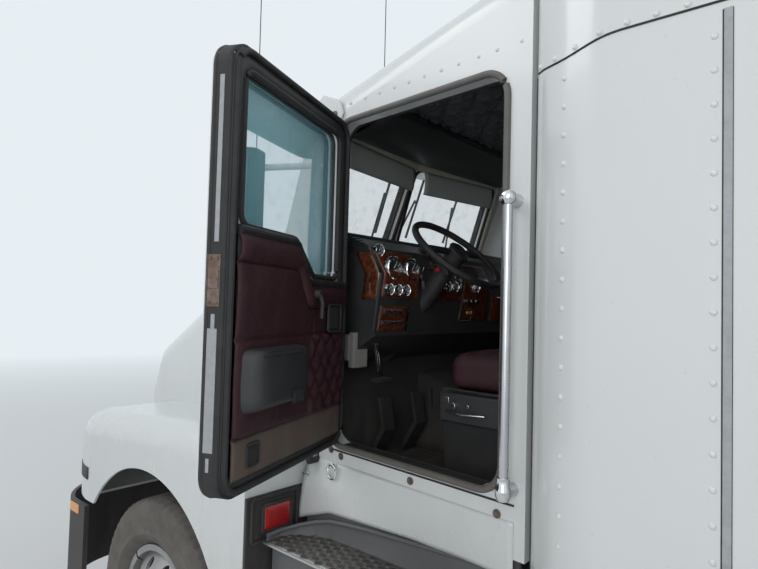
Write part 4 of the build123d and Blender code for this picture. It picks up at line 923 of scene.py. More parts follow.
@dataclass
class Door:
    """Inside of one door, made closed and swung to its rest: frame, seals, trim, pocket and latch."""

    side: int
    word: str
    trim_low: float = 0.262
    kick_top: float = 0.38
    seam_x: float = 4.245
    seam_z: float = 0.655
    belt_rear: float = 0.965
    belt_front: float = 0.835
    rear: float = 3.792
    front: float = 4.52
    puff: float = 0.016
    diamond: float = 0.078
    latch_x: float = DOOR_REAR + 0.0082

    @property
    def body(self) -> str:
        """The door's body."""
        return "door_" + self.word

    def at(self, x: float, z: float, depth: float) -> Vector:
        """A point at a depth inside the skin, with the door closed."""
        return Vector((x, self.side * (side_y(x) - depth), z))

    def hang(self, shape: Shape, name: str, finish: Look, slot: str | None = None,
             **options: float) -> Object:
        """Make a shape one of this door's pieces, swung to where the door rests."""
        return shape.piece(name + "_" + self.word, finish, self.body, slot, turn=hung(self.side), **options)

    def along(self, u: float) -> float:
        """Station at a share of the trim's length."""
        return self.rear + (self.front - self.rear) * u

    def belt(self, x: float) -> float:
        """Height of the trim's top, which steps down towards the front."""
        t = clamp((x - 4.12) / 0.11)
        return self.belt_rear + (self.belt_front - self.belt_rear) * t * t * (3 - 2 * t)

    def height(self, x: float, z: float) -> float:
        """How far the trim stands off the door, with its rolls, seams and tufts."""
        top = self.belt(x)
        edge = min(x - self.rear, self.front - x, top - z, z - self.trim_low)
        rise = 0.074 + 0.01 * clamp(edge / 0.03) ** 0.5
        roll = top - z
        if roll < 0.085:
            rise += 0.016 * sin(pi * roll / 0.085) ** 0.6
        elif roll < 0.09:
            rise -= 0.004
        elif z > self.seam_z:
            rise += 0.006 * sin(pi * (z - self.seam_z) / max(0.02, top - 0.09 - self.seam_z)) ** 0.5
            rise -= 0.004 * exp(-((x - self.seam_x) / 0.006) ** 2)
        elif z > self.kick_top:
            across, up = (x - 4.2) / self.diamond, z / (self.diamond * 1.3)
            tuft = abs(sin(pi * (across + up)) * sin(pi * (across - up))) ** 0.45
            rise += self.puff * tuft if x > 4.226 else 0.004
        for level in (self.seam_z, self.kick_top):
            rise -= 0.006 * exp(-((z - level) / 0.005) ** 2)
        return min(rise, 0.107)

    def trim(self) -> None:
        """The padded vinyl panel that stands for the plain solid."""
        shape = Shape()

        def place(u: float, v: float) -> Vector:
            """Front of the panel."""
            x = self.along(u)
            z = self.kick_top + (self.belt(x) - self.kick_top) * v
            wave = 0.0015 * sin(37 * x + 11 * z) * sin(23 * z - 7 * x)
            return self.at(x, z, self.height(x, z) + wave)

        shape.grid(place, 110, 96)
        panel = self.hang(shape, "trim_panel", SHADED_BURGUNDY, smooth=60.0, thick=0.006)
        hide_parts("door_" + self.word + "_trim")
        kick = Shape()
        tall = self.kick_top - 0.002 - self.trim_low
        kick.grid(lambda u, v: self.at(self.along(u), self.trim_low + tall * v,
                                       0.074 + 0.006 * min(1.0, 12 * v * (1 - v))), 40, 14)
        self.hang(kick, "kick_panel", GRIMY, thick=0.006)
        roll = Shape()
        stations = [self.along(i / 40) for i in range(41)]
        roll.tube([self.at(x, self.belt(x) + 0.004, 0.078) for x in stations], 0.016, 10)
        roll.tube([self.at(x, self.kick_top, 0.084) for x in stations], 0.0035, 6)
        self.hang(roll, "sill_roll", BLACK_VINYL, slot="black_rubber")

    def frame(self) -> None:
        """Black band on the door's inner face, its seals and edge, and the bright edge strip."""
        count, fine = 96, 420
        outer = evenly(door_outline(0.012, 0.075), count)
        inner = evenly(
            rounded(DOOR_REAR + 0.06, DOOR_FRONT - 0.07, DOOR_LOW + 0.07, DOOR_TOP - 0.08, 0.04), count)

        def between(u: float, v: float) -> Vector:
            """A point of the band."""
            k = round(v * count) % count
            (x0, z0), (x1, z1) = outer[k], inner[k]
            return self.at(x0 * (1 - u) + x1 * u, z0 * (1 - u) + z1 * u, 0.063)

        band = Shape().grid(between, 2, count, wrap=True)
        self.hang(band, "door_band", PLASTIC, thick=0.004)
        seal = Shape()
        for inset, depth, corner, radius, sides in (
                (0.024, 0.071, DOOR_CORNER - 0.024 * 0.6, 0.01, 10),
                (0.0115, 0.0575, DOOR_CORNER - 0.0115 * 0.6, 0.0065, 10), (0.01, 0.0105, 0.077, 0.006, 8)):
            seal.loop([self.at(x, z, depth) for x, z in door_outline(inset, corner)], radius, sides)
        self.hang(seal, "door_seal", RUBBER)
        ends = evenly(door_outline(0.0072, 0.078, 24), fine)
        edge = Shape()
        edge.grid(lambda u, v: self.at(*ends[round(v * fine) % fine], 0.004 + 0.058 * u), 4, fine, wrap=True)
        self.hang(edge, "door_edge", RUBBER, thick=0.0012)
        strip = Shape()
        for y0, y1, z0, z1 in ((0.004, 0.018, 0.93, 1.4), (0.0, 0.03, 0.35, 0.69),
                               (0.008, 0.02, 0.69, 0.73), (0.01, 0.02, 0.298, 0.336)):
            strip.box((DOOR_REAR + 0.005, y0, z0), (DOOR_REAR + 0.0078, y1, z1))
        self._on_edge(strip, 0.046)
        self.hang(strip, "edge_strip", GREY_EDGE_AND_SHADE_BAND, bevel=0.0008)

    def _on_edge(self, shape: Shape, depth: float) -> None:
        """Move a shape made at Y=0 upwards to the door's rear edge, its low side at a depth."""
        y = side_y(DOOR_REAR) - depth
        for v in shape.mesh.verts:
            v.co.y = self.side * (y + v.co.y)

    def latch(self) -> None:
        """The latch on the rear edge, worn to bare and rusty metal."""
        plate, face = Shape(), self.latch_x
        plate.box((DOOR_REAR + 0.0045, 0.0, 0.75), (face, 0.042, 0.895))
        plate.box((DOOR_REAR + 0.0015, 0.004, 0.8), (face, 0.034, 0.85))
        corners = [(0.002, y, z, 0.005, 10) for z in (0.762, 0.884) for y in (0.01, 0.032)]
        for start, y, z, radius, sides in (
                (0.001, 0.02, 0.838, 0.013, 16), (0.002, 0.016, 0.812, 0.009, 16), *corners):
            plate.rod((DOOR_REAR + start, y, z), (face, y, z), radius, sides)
        self._on_edge(plate, 0.05)
        self.hang(plate, "door_latch", RUST, bevel=0.0008)

    def pocket(self) -> None:
        """Black moulded map pocket with rounded corners; its mouth, the notch at its foot and the door's two
        recesses are dark sheets of painted shade.
        """
        x0, x1, z0, z1 = 3.808, 4.155, 0.44, 0.632
        layers = ((0.0, 0.083), (0.004, 0.088), (0.008, 0.112), (0.014, 0.124), (0.022, 0.13))
        count = 64

        def wall_point(u: float, v: float) -> Vector:
            """The pocket's wall, drawn in as it rises."""
            inset, depth = layers[round(u * (len(layers) - 1))]
            outline = rounded(x0 + inset * 1.6, x1 - inset * 1.2, z0 + inset * 1.6, z1 - inset * 0.4, 0.024)
            x, z = evenly(outline, count)[round(v * count) % count]
            return self.at(x, z, depth + 0.012 * (x1 - x) / (x1 - x0) * u)

        tray = Shape().grid(wall_point, len(layers) - 1, count, wrap=True)
        tray.mesh.faces.new(list(tray.mesh.verts)[-count:])
        self.hang(tray, "map_pocket", PLASTIC)
        # Painted shade: dark sheets across the pocket's mouth and notch, and at the back of the two recesses,
        # stand for the shade inside them.
        mouth_shade, recess_shade = Shape(), Shape()
        for shape, x, width, z, rise, depth, lean, cells in (
                (mouth_shade, x0 + 0.035, x1 - x0 - 0.065, z1 - 0.012, -0.012, 0.1425, 0.01, (8, 2)),
                (mouth_shade, x0 + 0.215, 0.085, z0 + 0.052, -0.04, 0.1385, 0.004, (4, 4)),
                (recess_shade, 3.868, 0.052, 0.296, 0.05, 0.0845, 0.0, (4, 4)),
                (recess_shade, 4.352, 0.096, 0.67, 0.088, 0.1015, 0.0, (4, 4))):
            shape.grid(lambda u, v: self.at(x + width * u, z + rise * v, depth - lean * u), *cells)
        self.hang(mouth_shade, "pocket_mouth", MAT, thick=0.0015)
        self.hang(recess_shade, "door_recesses", MAT, thick=0.002)
        rims = Shape()
        for edges, depth, radius in (
                ((3.86, 3.928, 0.288, 0.354), 0.085, 0.004), ((4.346, 4.454, 0.664, 0.764), 0.102, 0.005)):
            rims.loop([self.at(x, z, depth) for x, z in rounded(*edges, 0.012)], radius, 6)
        rims.rod(self.at(4.235, 0.8, 0.09), self.at(4.235, 0.8, 0.122), 0.014)
        rims.tube(
            [self.at(*p) for p in ((4.235, 0.8, 0.118), (4.245, 0.77, 0.124), (4.25, 0.715, 0.12))], 0.008)
        self.hang(rims, "door_levers", PLASTIC)

    def window(self) -> None:
        """Channel round the glass, inside and outside, and the white shade over it outside."""
        rear, front, top = DOOR_REAR + 0.075, DOOR_FRONT - 0.08, DOOR_TOP - 0.075
        low, high = 0.865, 0.985
        outline = soften([(rear, high), (rear + 0.33, high), (rear + 0.47, low), (front, low), (front, top),
                          (rear, top)], 0.045)
        run = Shape()
        for depth, radius in ((0.026, 0.006), (0.036, 0.006), (0.06, 0.011), (0.002, 0.01)):
            run.loop([self.at(x, z, depth) for x, z in outline], radius)
        self.hang(run, "window_channel", RUBBER)

        def bulge(u: float, v: float, out: float, power: int) -> float:
            """Depth of the shade, which swells outwards."""
            return 0.002 - out * sin(pi * 0.5 * v) * (1 - abs(2 * u - 1) ** power)

        shade = Shape()
        shade.grid(lambda u, v: self.at(rear - 0.03 + (front - rear + 0.06) * u,
                                        top + 0.035 - 0.145 * v * (1 - 0.25 * abs(2 * u - 1) ** 6),
                                        bulge(u, v, 0.062, 10)), 40, 10)
        shade.grid(lambda u, v: self.at(front + 0.03 - 0.085 * v * (1 - 0.3 * u), 0.885 + (top - 0.885) * u,
                                        bulge(u, v, 0.045, 8)), 20, 8)
        self.hang(shade, "window_shade", WHITE, thick=0.003)

    def outside(self) -> None:
        """Outer handle and lock, the mirror's glass, frame and back, and the antenna on it."""
        handle, level = Shape(), 0.845
        for x in (3.85, 3.99):
            handle.rod(self.at(x, level, -0.002), self.at(x, level, -0.032), 0.012)
        grip = ((3.835, -0.034), (3.92, -0.04), (4.01, -0.034))
        handle.tube([self.at(x, level, depth) for x, depth in grip], 0.011, 10)
        handle.lathe(((0, 0.017), (0.004, 0.017), (0.006, 0.012), (0.006, 0.0005)), self.at(3.86, 0.78, 0),
                     (0, self.side, 0), 20)
        self.hang(handle, "outer_handle", CHROME)
        inner, outer, face_x = 0.285, 0.425, 4.3995
        skin = side_y(MIRROR_X)
        glass, edge = Shape(), Shape()
        for low, high in ((0.925, 1.03), (1.055, 1.355)):
            corners = rounded(skin + inner + 0.012, skin + outer - 0.012, low, high, 0.02)
            glass.mesh.faces.new(
                [glass.mesh.verts.new((face_x - 0.001, self.side * y, z)) for y, z in corners])
            rim = rounded(skin + inner + 0.006, skin + outer - 0.006, low - 0.006, high + 0.006, 0.024)
            edge.loop([(face_x, self.side * y, z) for y, z in rim], 0.006)
        self.hang(glass, "mirror_glass", MIRROR, thick=0.002)
        self.hang(edge, "mirror_frame", PLASTIC, thick=0.001)
        near, far, root, corner = face_x + 0.003, 4.527, 0.263, 0.037
        turns = [
            (corner * (1 - cos(t)), root + corner * (1 - sin(t))) for t in (pi / 2 * k / 8 for k in range(9))]
        path = [(near, 0.43), (near, 0.3), *((near + x, y) for x, y in turns[1:]),
                *((far - x, y) for x, y in reversed(turns)), (far, 0.345)]
        count = len(path) - 1

        def back_point(u: float, v: float) -> Vector:
            """A point of the mirror's moulded back."""
            x, y = path[round(u * count)]
            return Vector((x, self.side * (skin + y), 0.884 + 0.502 * v))

        self.hang(Shape().grid(back_point, count, 6), "mirror_back", PLASTIC, thick=0.001)
        foot = Vector((4.549, self.side * (skin + 0.33), 1.15))
        whip = Shape().rod(*around(foot, (-0.014, 0, 0), (0.004, 0, 0)), 0.016, 12)
        whip.rod(*around(foot, (0, 0, -0.03), (0, 0, 0.09)), 0.009, 12, 0.006)
        whip.tube(around(foot, (0, 0, 0.08), (0, 0.001, 0.6), (0, 0.003, 1.15)), 0.0022, 6)
        self.hang(whip, "mirror_antenna", PLASTIC)

    def build(self) -> None:
        """Make every piece."""
        self.trim()
        self.frame()
        self.latch()
        self.pocket()
        self.window()
        self.outside()


@dataclass
class Studio:
    """Floor, lights and the camera at the photograph's view."""

    position: Triple = (2.89, 2.531, 0.764)
    heading: float = 49.08
    pitch: float = 2.17
    roll: float = 1.535
    focal_pixels: float = 568.6
    photo_width: float = 758.0
    sensor: float = 36.0
    floor_half: float = 60.0
    backdrop: Colour = (0.8, 0.86, 0.9)
    fade: Pair = (7.0, 24.0)
    sky: Colour = (0.86, 0.93, 1.0)
    sky_strength: float = 0.47
    lamps: tuple[tuple[str, Colour, Colour, float, float], ...] = (
        ("key", (9.5, 5.5, 7.0), (4.2, 0, 0.4), 5.0, 235.0),
        ("fill", (0.5, 7.5, 4.5), (3.8, 0.5, 0.6), 5.0, 72.0),
        ("back", (1.0, -7.0, 6.0), (3.0, 0, 0.4), 6.0, 90.0),
        ("door", (2.3, 4.6, 1.3), (4.3, 0.2, 1.1), 1.6, 30.0))

    def camera(self) -> None:
        """The camera where the photograph was taken from."""
        h, p, r = (radians(a) for a in (self.heading, self.pitch, self.roll))
        forward = Vector((cos(h) * cos(p), -sin(h) * cos(p), sin(p)))
        level = Vector((-sin(h), -cos(h), 0))
        above = level.cross(forward)
        right = level * cos(r) + above * sin(r)
        up = above * cos(r) - level * sin(r)
        data = bpy.data.cameras.new("view")
        data.sensor_width = self.sensor
        data.sensor_fit = "HORIZONTAL"
        data.lens = self.focal_pixels / self.photo_width * self.sensor
        data.clip_start, data.clip_end = 0.05, 200.0
        camera = stand("view", data)
        turn = Matrix((right, up, -forward)).transposed().to_4x4()
        camera.matrix_world = Matrix.Translation(self.position) @ turn
        bpy.context.scene.camera = camera

    def square(self, s: Shade, axis: int) -> Wire:
        """Square of one level coordinate."""
        return s.maths("POWER", s.maths("ABSOLUTE", s.node("SeparateXYZ", {}, {0: s.place()}, axis)), 2.0)

    def floor(self) -> None:
        """A plain pale floor that melts into the backdrop far out."""
        shape = Shape()
        half = self.floor_half
        shape.grid(lambda u, v: (3 + half * (2 * u - 1), half * (2 * v - 1), GROUND), 2, 2)
        data = bpy.data.meshes.new("floor")
        shape.mesh.to_mesh(data)
        shape.mesh.free()
        s = Shade("pale_floor")
        away = s.maths("SQRT", s.maths("ADD", self.square(s, 0), self.square(s, 1)))
        fade = s.step(away, *self.fade) * Wire(s, camera_rays(s.tree))
        tone = s.mix(s.noise(1.5, 4.0) * 0.3, (0.8, 0.8, 0.79), (0.72, 0.72, 0.71))
        data.materials.append(s.surface({"Base Color": tone, "Roughness": 0.9}))
        out = next(n for n in s.tree.nodes if n.type == "OUTPUT_MATERIAL").inputs["Surface"]
        glow = grow(s.tree, "ShaderNodeEmission", {"Color": (*self.backdrop, 1)})
        plain = out.links[0].from_socket
        either = grow(s.tree, "ShaderNodeMixShader", {0: fade.socket, 1: plain, 2: glow[0]})
        s.tree.links.new(either[0], out)
        floor = stand("floor", data)

    def lights(self) -> None:
        """Soft daylight from the sky, and four large lamps."""
        world = bpy.data.worlds.new("studio")
        world.use_nodes = True
        tree = world.node_tree
        tree.nodes.clear()
        lit = grow(tree, "ShaderNodeBackground", {"Color": (*self.sky, 1), "Strength": self.sky_strength})
        seen = grow(tree, "ShaderNodeBackground", {"Color": (*self.backdrop, 1), "Strength": 1.0})
        either = grow(tree, "ShaderNodeMixShader", {0: camera_rays(tree), 1: lit[0], 2: seen[0]})
        grow(tree, "ShaderNodeOutputWorld", {0: either[0]})
        bpy.context.scene.world = world
        for name, place, aim, size, power in self.lamps:
            data = bpy.data.lights.new(name, "AREA")
            data.size = size
            data.energy = power
            lamp = stand(name, data)
            lamp.location = place
            lamp.rotation_euler = (Vector(aim) - Vector(place)).to_track_quat("-Z", "Y").to_euler()
        bpy.context.scene.view_settings.view_transform = "Standard"

    def build(self) -> None:
        """Make everything."""
        self.camera()
        self.floor()
        self.lights()


DASH_FACE = ((0.48, 4.7), (0.56, 4.56), (0.64, 4.44), (0.9, 4.4), (1.01, 4.47), (1.065, 4.6), (1.085, 4.9))
DASH_HALF = 0.765


@dataclass
class Interior:
    """Inside of the cab: liners, quilted roof, dash, controls, seats and bunk."""

    tuft: float = 0.085
    rear: float = CAB_BACK + 0.0655

    def dash(self, z: float) -> float:
        """Where the dash's face stands at a height."""
        for (z0, x0), (z1, x1) in zip(DASH_FACE, DASH_FACE[1:]):
            if z <= z1:
                return x0 + (x1 - x0) * (z - z0) / (z1 - z0)
        return DASH_FACE[-1][1]

    def on_dash(self, y: float, z: float, out: float) -> Vector:
        """A point standing out from the dash's face."""
        return Vector((self.dash(z) - out, y, z))

    def inner(self, x: float) -> float:
        """Half width inside the cab."""
        return side_y(x) - WALL - 0.003

    def liners(self) -> None:
        """Floor mat, toe board, engine cover, side, rear and lower panels."""
        mat = Shape()
        mat.grid(lambda u, v: (3.727 + 0.78 * u, self.inner(3.727 + 0.78 * u) * (2 * v - 1),
                               FLOOR_TOP + 0.004 + 0.0022 * abs(sin(90 * v)) + 0.0012 * sin(31 * u + 9 * v)),
                 60, 160)
        toe = ((4.5, FLOOR_TOP + 0.006), (4.562, FLOOR_TOP + 0.008), (4.5735, FLOOR_TOP + 0.022),
               (4.5735, 0.338), (4.656, 0.57), (4.735, 0.79))

        def toe_point(u: float, v: float) -> Vector:
            """A point of the mat where it climbs the toe board."""
            x, z = toe[round((len(toe) - 1) * u)]
            return Vector((x, self.inner(x) * (2 * v - 1), z))

        mat.grid(toe_point, len(toe) - 1, 24)
        mat.piece("floor_mat", MAT, slot="black_rubber", thick=0.003)
        hump = Shape()
        hump.grid(lambda u, v: (4.1 + 0.52 * u, 0.3 * cos(pi * v),
                                FLOOR_TOP + 0.004 + (0.2 + 0.16 * u) * min(1.0, 1.6 * sin(pi * v)) *
                                min(1.0, 8 * u + 0.02)), 20, 30)
        hump.piece("engine_cover", MAT, smooth=50, thick=0.004)
        sides = Shape()
        for side in (1, -1):
            sides.grid(lambda u, v: (4.582 + 0.05 * u, side * self.inner(4.582 + 0.05 * u),
                                     FLOOR_TOP + 0.01 + 0.86 * v), 3, 20)
            sides.grid(lambda u, v: (self.rear, side * (0.652 + (self.inner(3.73) - 0.652) * u),
                                     0.1 + 1.45 * v), 4, 20)
        sides.grid(lambda u, v: (self.rear, 0.645 * (2 * u - 1), 1.455 + 0.3 * v), 12, 6)
        # The liners are black plastic, kept dark partly as painted shade for the shade inside the cab.
        sides.piece("shaded_cab_liners", PLASTIC, thick=0.003)
        panel = Shape()
        for x0, x1, at, low_in, high_in, z0, z1 in (
                (4.532, 4.566, 4.55, 0.115, 0.026, 0.5, 0.65), (4.556, 4.6, 4.6, 0.12, 0.016, 0.53, 0.64)):
            panel.box((x0, self.inner(at) - low_in, z0), (x1, self.inner(at) - high_in, z1))
        panel.piece("fuse_covers", LINER, bevel=0.006)

    def roof(self) -> None:
        """Quilted black roof liner, the shelf, header, visors and pillar trims."""
        def place(u: float, v: float) -> Vector:
            """A point on the tufted liner."""
            x = 3.73 + 0.985 * u
            y = (self.inner(x) - 0.06) * (2 * v - 1)
            z = roof_z(x) - WALL - 0.006
            a, b = x / self.tuft, y / self.tuft
            rise = abs(sin(pi * (a + b) / 2) * sin(pi * (a - b) / 2)) ** 0.5
            return Vector((x, y, z - 0.004 - 0.026 * rise - 0.1 * max(0.0, abs(2 * v - 1) - 0.86)))

        quilt = Shape().grid(place, 110, 170).piece("roof_quilt", QUILT_PAINTED_SHEEN, smooth=70.0, thick=0.004)
        shelf, half = Shape(), 0.69
        shelf.grid(lambda u, v: (4.47 + 0.3 * u, half * (2 * v - 1),
                                 1.56 - 0.02 * sin(pi * u) + 0.05 * (1 - u) ** 3), 16, 12)
        shelf.grid(lambda u, v: (4.47 - 0.004 * sin(pi * u), half * (2 * v - 1), 1.61 + 0.045 * u), 4, 12)
        for y in (-0.52, 0.0, 0.52):
            shelf.tube([(4.468, y - 0.1, 1.632), (4.46, y, 1.628), (4.468, y + 0.1, 1.632)], 0.006, 6)
        shelf.piece("overhead_shelf", PLASTIC, smooth=50, thick=0.006)
        header, pillars, visors = Shape(), Shape(), Shape()
        for side in (1, -1):
            for up, reach in ((0.505, 0.04), (0.01, 0.03)):
                header.grid(lambda u, v: pane(side, 0.012 + 0.765 * v, up + reach * u, -0.066), 3, 20)
            pillars.grid(lambda u, v: pane(side, 0.748 + 0.026 * u, 0.01 + 0.515 * v,
                                           -0.068 - 0.014 * sin(pi * u)), 6, 16)
            visors.grid(lambda u, v: pane(side, 0.09 + 0.6 * v, 0.385 + 0.12 * u,
                                          -0.11 - 0.01 * sin(pi * u) ** 0.5 + 0.035 * u), 8, 24)
        header.piece("screen_header", BEIGE, thick=0.004)
        pillars.piece("pillar_trims", BEIGE, smooth=60, thick=0.004)
        visors.piece("sun_visors_inside", VISOR, smooth=60, thick=0.012)
        divider = Shape().tube([pane(1, 0.006, 0.02, -0.03), pane(1, 0.006, 0.53, -0.03)], 0.026)
        divider.piece("screen_divider", PLASTIC)

    def gauge(self, y: float, z: float, radius: float, rims: Shape, dials: Shape, marks: Shape) -> None:
        """One round gauge: a chrome ring, a dark face, ticks and a needle."""
        base, out = self.on_dash(y, z, 0.001), Vector((-1, 0, 0))
        section = ((0, 1.16), (0.014, 1.14), (0.019, 1.05), (0.016, 0.96), (0.006, 0.93))
        rims.lathe([(off, radius * share) for off, share in section], base, out, 36)
        dials.lathe(((0.006, radius * 0.94), (0.0065, radius * 0.5), (0.007, 0.0004)), base, out, 30)
        for i in range(9):
            t = radians(225 - 270 * i / 8)
            way = Vector((0, cos(t), sin(t)))
            a, b = (base + out * 0.0085 + way * radius * share for share in (0.7, 0.86))
            marks.rod(a, b, 0.0011, 5)
        aim = Vector((0, cos(2.2), sin(2.2)))
        marks.rod(base + out * 0.011, base + out * 0.01 + aim * radius * 0.72, 0.0018, 6, 0.0006)

    def dashboard(self) -> None:
        """Gauges, wood panels, vents, switches and knobs on the dash."""
        rims, dials, marks = Shape(), Shape(), Shape()
        for y, z in ((0.69, 0.925), (0.565, 0.925)):
            self.gauge(y, z, 0.043, rims, dials, marks)
        for y, z in ((0.725, 0.835), (0.67, 0.835), (0.615, 0.835), (0.735, 0.998),
                     (0.3, 0.93), (0.24, 0.93), (0.3, 0.865), (0.24, 0.865), (0.05, 0.87)):
            self.gauge(y, z, 0.023, rims, dials, marks)
        rims.piece("gauge_rings", CHROME)
        dials.piece("gauge_faces", DIAL)
        marks.piece("gauge_marks", PALE)
        wood = Shape()
        for y0, y1, z0, z1 in ((0.5, 0.758, 0.8, 0.998), (0.56, 0.755, 0.66, 0.765), (0.17, 0.38, 0.8, 0.985),
                               (-0.1, 0.15, 0.7, 0.985), (-0.74, -0.14, 0.7, 0.83)):
            wood.grid(lambda u, v: self.on_dash(y0 + (y1 - y0) * u, z0 + (z1 - z0) * v, 0.0015), 10, 14)
        wood.grid(lambda u, v: (self.dash(0.79 + 0.2 * v) + 0.012 + 0.085 * u, DASH_HALF + 0.0015,
                                0.79 + 0.2 * v), 4, 10)
        wood.piece("wood_panels", WOOD, thick=0.003)
        vents = Shape()
        for y, z in ((0.06, 0.945), (0.1, 0.73), (-0.25, 0.93), (-0.64, 0.93)):
            outline = rounded(y - 0.055, y + 0.055, z - 0.028, z + 0.028, 0.01)
            vents.loop([self.on_dash(a, b, 0.004) for a, b in outline], 0.005, 6)
            for i in range(5):
                level = z - 0.02 + 0.01 * i
                vents.tube([self.on_dash(y + off, level, 0.004) for off in (-0.052, 0.052)], 0.0028, 5)
        for i in range(6):
            level = 1.0 + 0.01 * i
            vents.tube([(x, DASH_HALF + 0.003, level) for x in (4.48 + 0.01 * i, 4.6)], 0.003, 5)
        vents.tube([(self.dash(z) + 0.006, DASH_HALF + 0.004, z) for z in (0.66, 0.78, 0.9, 1.01)], 0.007)
        vents.tube([self.on_dash(y, 1.066, -0.004) for y in (-0.76, -0.3, 0.3, 0.762)], 0.016, 10)
        for y in (-0.52, -0.18, 0.18, 0.52):
            for i in range(4):
                vents.box((4.8 + 0.022 * i, y - 0.12, 1.078), (4.808 + 0.022 * i, y + 0.12, 1.086))
        vents.piece("dash_vents", PLASTIC)
        knobs, bodies = Shape(), Shape()
        for i in range(7):
            y = 0.59 + 0.024 * i
            for z in (0.738, 0.69):
                bodies.rod(self.on_dash(y, z, 0.001), self.on_dash(y, z, 0.008), 0.009, 12)
                knobs.rod(self.on_dash(y, z, 0.006), self.on_dash(y, z + 0.006, 0.024), 0.0035, 10, 0.005)
        for y in (0.03, 0.075, 0.12):
            knobs.lathe(((0, 0.012), (0.012, 0.014), (0.02, 0.012), (0.021, 0.0005)),
                        self.on_dash(y, 0.8, 0.002), (-1, 0, 0), 18)
        knobs.piece("switch_levers", CHROME)
        bodies.piece("switch_collars", PLASTIC)
        glow = Shape().box((4.396, 0.075, 0.735), (4.404, 0.125, 0.752))
        glow.piece("dash_marker", AMBER, bevel=0.002)

    def controls(self) -> None:
        """The horn pad, the column's stalks and switch, and a hanging pedal."""
        centre = Vector((4.255, 0.443, 1.0))
        axis = Vector((-sin(radians(50)), 0, cos(radians(50))))
        pad = Shape()
        pad.lathe(
            ((0.004, 0.052), (0.012, 0.05), (0.019, 0.038), (0.021, 0.0006)), centre + axis * 0.008, axis, 32)
        pad.piece("horn_pad", BLACK_VINYL, "steering_wheel", slot="black_plastic")
        bars = Shape()
        down = centre - axis * 0.085
        bars.tube(around(down, (0, 0, 0), (0.01, 0.075, 0.012), (0.0, 0.15, 0.045)), 0.006)
        bars.tube(around(down, (0.03, 0.03, 0), (0.045, 0.085, -0.01), (0.03, 0.13, -0.045),
                         (0.028, 0.118, -0.075)), 0.004)
        bars.tube(around(down, (0, 0, 0), (0.0, -0.075, 0.012), (-0.01, -0.145, 0.03)), 0.006)
        bars.piece("column_stalks", CHROME)
        tips = Shape().rod(*around(down, (0.0, 0.145, 0.043), (0.0, 0.185, 0.06)), 0.009, 12)
        tips.rod(*around(down, (0.026, 0.12, -0.07), (0.026, 0.112, -0.1)), 0.01, 12)
        tips.box((4.262, 0.475, 0.905), (4.292, 0.5, 0.935))
        tips.piece("stalk_tips", PLASTIC, bevel=0.002)
        hazard = Shape().rod((4.305, 0.5, 0.925), (4.305, 0.52, 0.927), 0.009, 16)
        hazard.piece("column_switch", RED, bevel=0.001)
        lever = Shape()
        for off in (0.0, 0.02):
            path = ((4.5, 0.706 - off, 0.64), (4.495, 0.69 - off, 0.56), (4.505, 0.655 - off, 0.47))
            lever.tube(path, 0.0055)
        lever.rod((4.496, 0.7, 0.64), (4.504, 0.67, 0.64), 0.011, 12)
        lever.piece("pedal_arm", CHROME)
        foot = Shape().box((4.47, 0.605, 0.438), (4.52, 0.69, 0.452))
        for i in range(6):
            foot.box((4.468, 0.61 + 0.0145 * i, 0.4515), (4.518, 0.615 + 0.0145 * i, 0.4565))
        foot.piece("pedal_pad", RUBBER, bevel=0.002)

    def pillow(self, shape: Shape, low: Point, high: Point, corner: float, crown: float,
               channels: Sequence[float] = (), face: int = 2, count: int = 26) -> None:
        """Add a crowned cushion with rounded corners, a piped edge and sewn channels across it.

        Args:
            shape: where it is added.
            low: its low corner.
            high: its high corner.
            corner: radius of its edges.
            crown: how far its face swells.
            channels: where sewn channels run across it, from -1 to 1.
            face: axis of the crowned face.
            count: cells along each edge.
        """
        middle = [(a + b) / 2 for a, b in zip(low, high)]
        size = [(b - a) / 2 for a, b in zip(low, high)]
        other = [axis for axis in range(3) if axis != face]

        def place(axis: int, way: int, u: float, v: float) -> Vector:
            """A point on one face of the cushion."""
            flat = [0.0, 0.0, 0.0]
            a, b = [k for k in range(3) if k != axis]
            flat[axis] = way * size[axis]
            flat[a] = (2 * u - 1) * size[a]
            flat[b] = (2 * v - 1) * size[b]
            core = [min(max(c, corner - s), s - corner) for c, s in zip(flat, size)]
            off = Vector([c - k for c, k in zip(flat, core)])
            point = Vector(core) + (off.normalized() * corner if off.length > 1e-9 else off)
            x, y = point[other[0]] / size[other[0]], point[other[1]] / size[other[1]]
            lift = crown * (1 - x ** 4) * (1 - y ** 4)
            for c in channels:
                lift -= 0.01 * exp(-((x - c) / 0.035) ** 2) * (1 - abs(y) ** 8)
            lift *= max(0.0, point[face] / size[face])
            point[face] += lift
            return Vector([m + p for m, p in zip(middle, point)])

        for axis in range(3):
            for way in (1, -1):
                shape.grid(lambda u, v: place(axis, way, u, v), count, count)

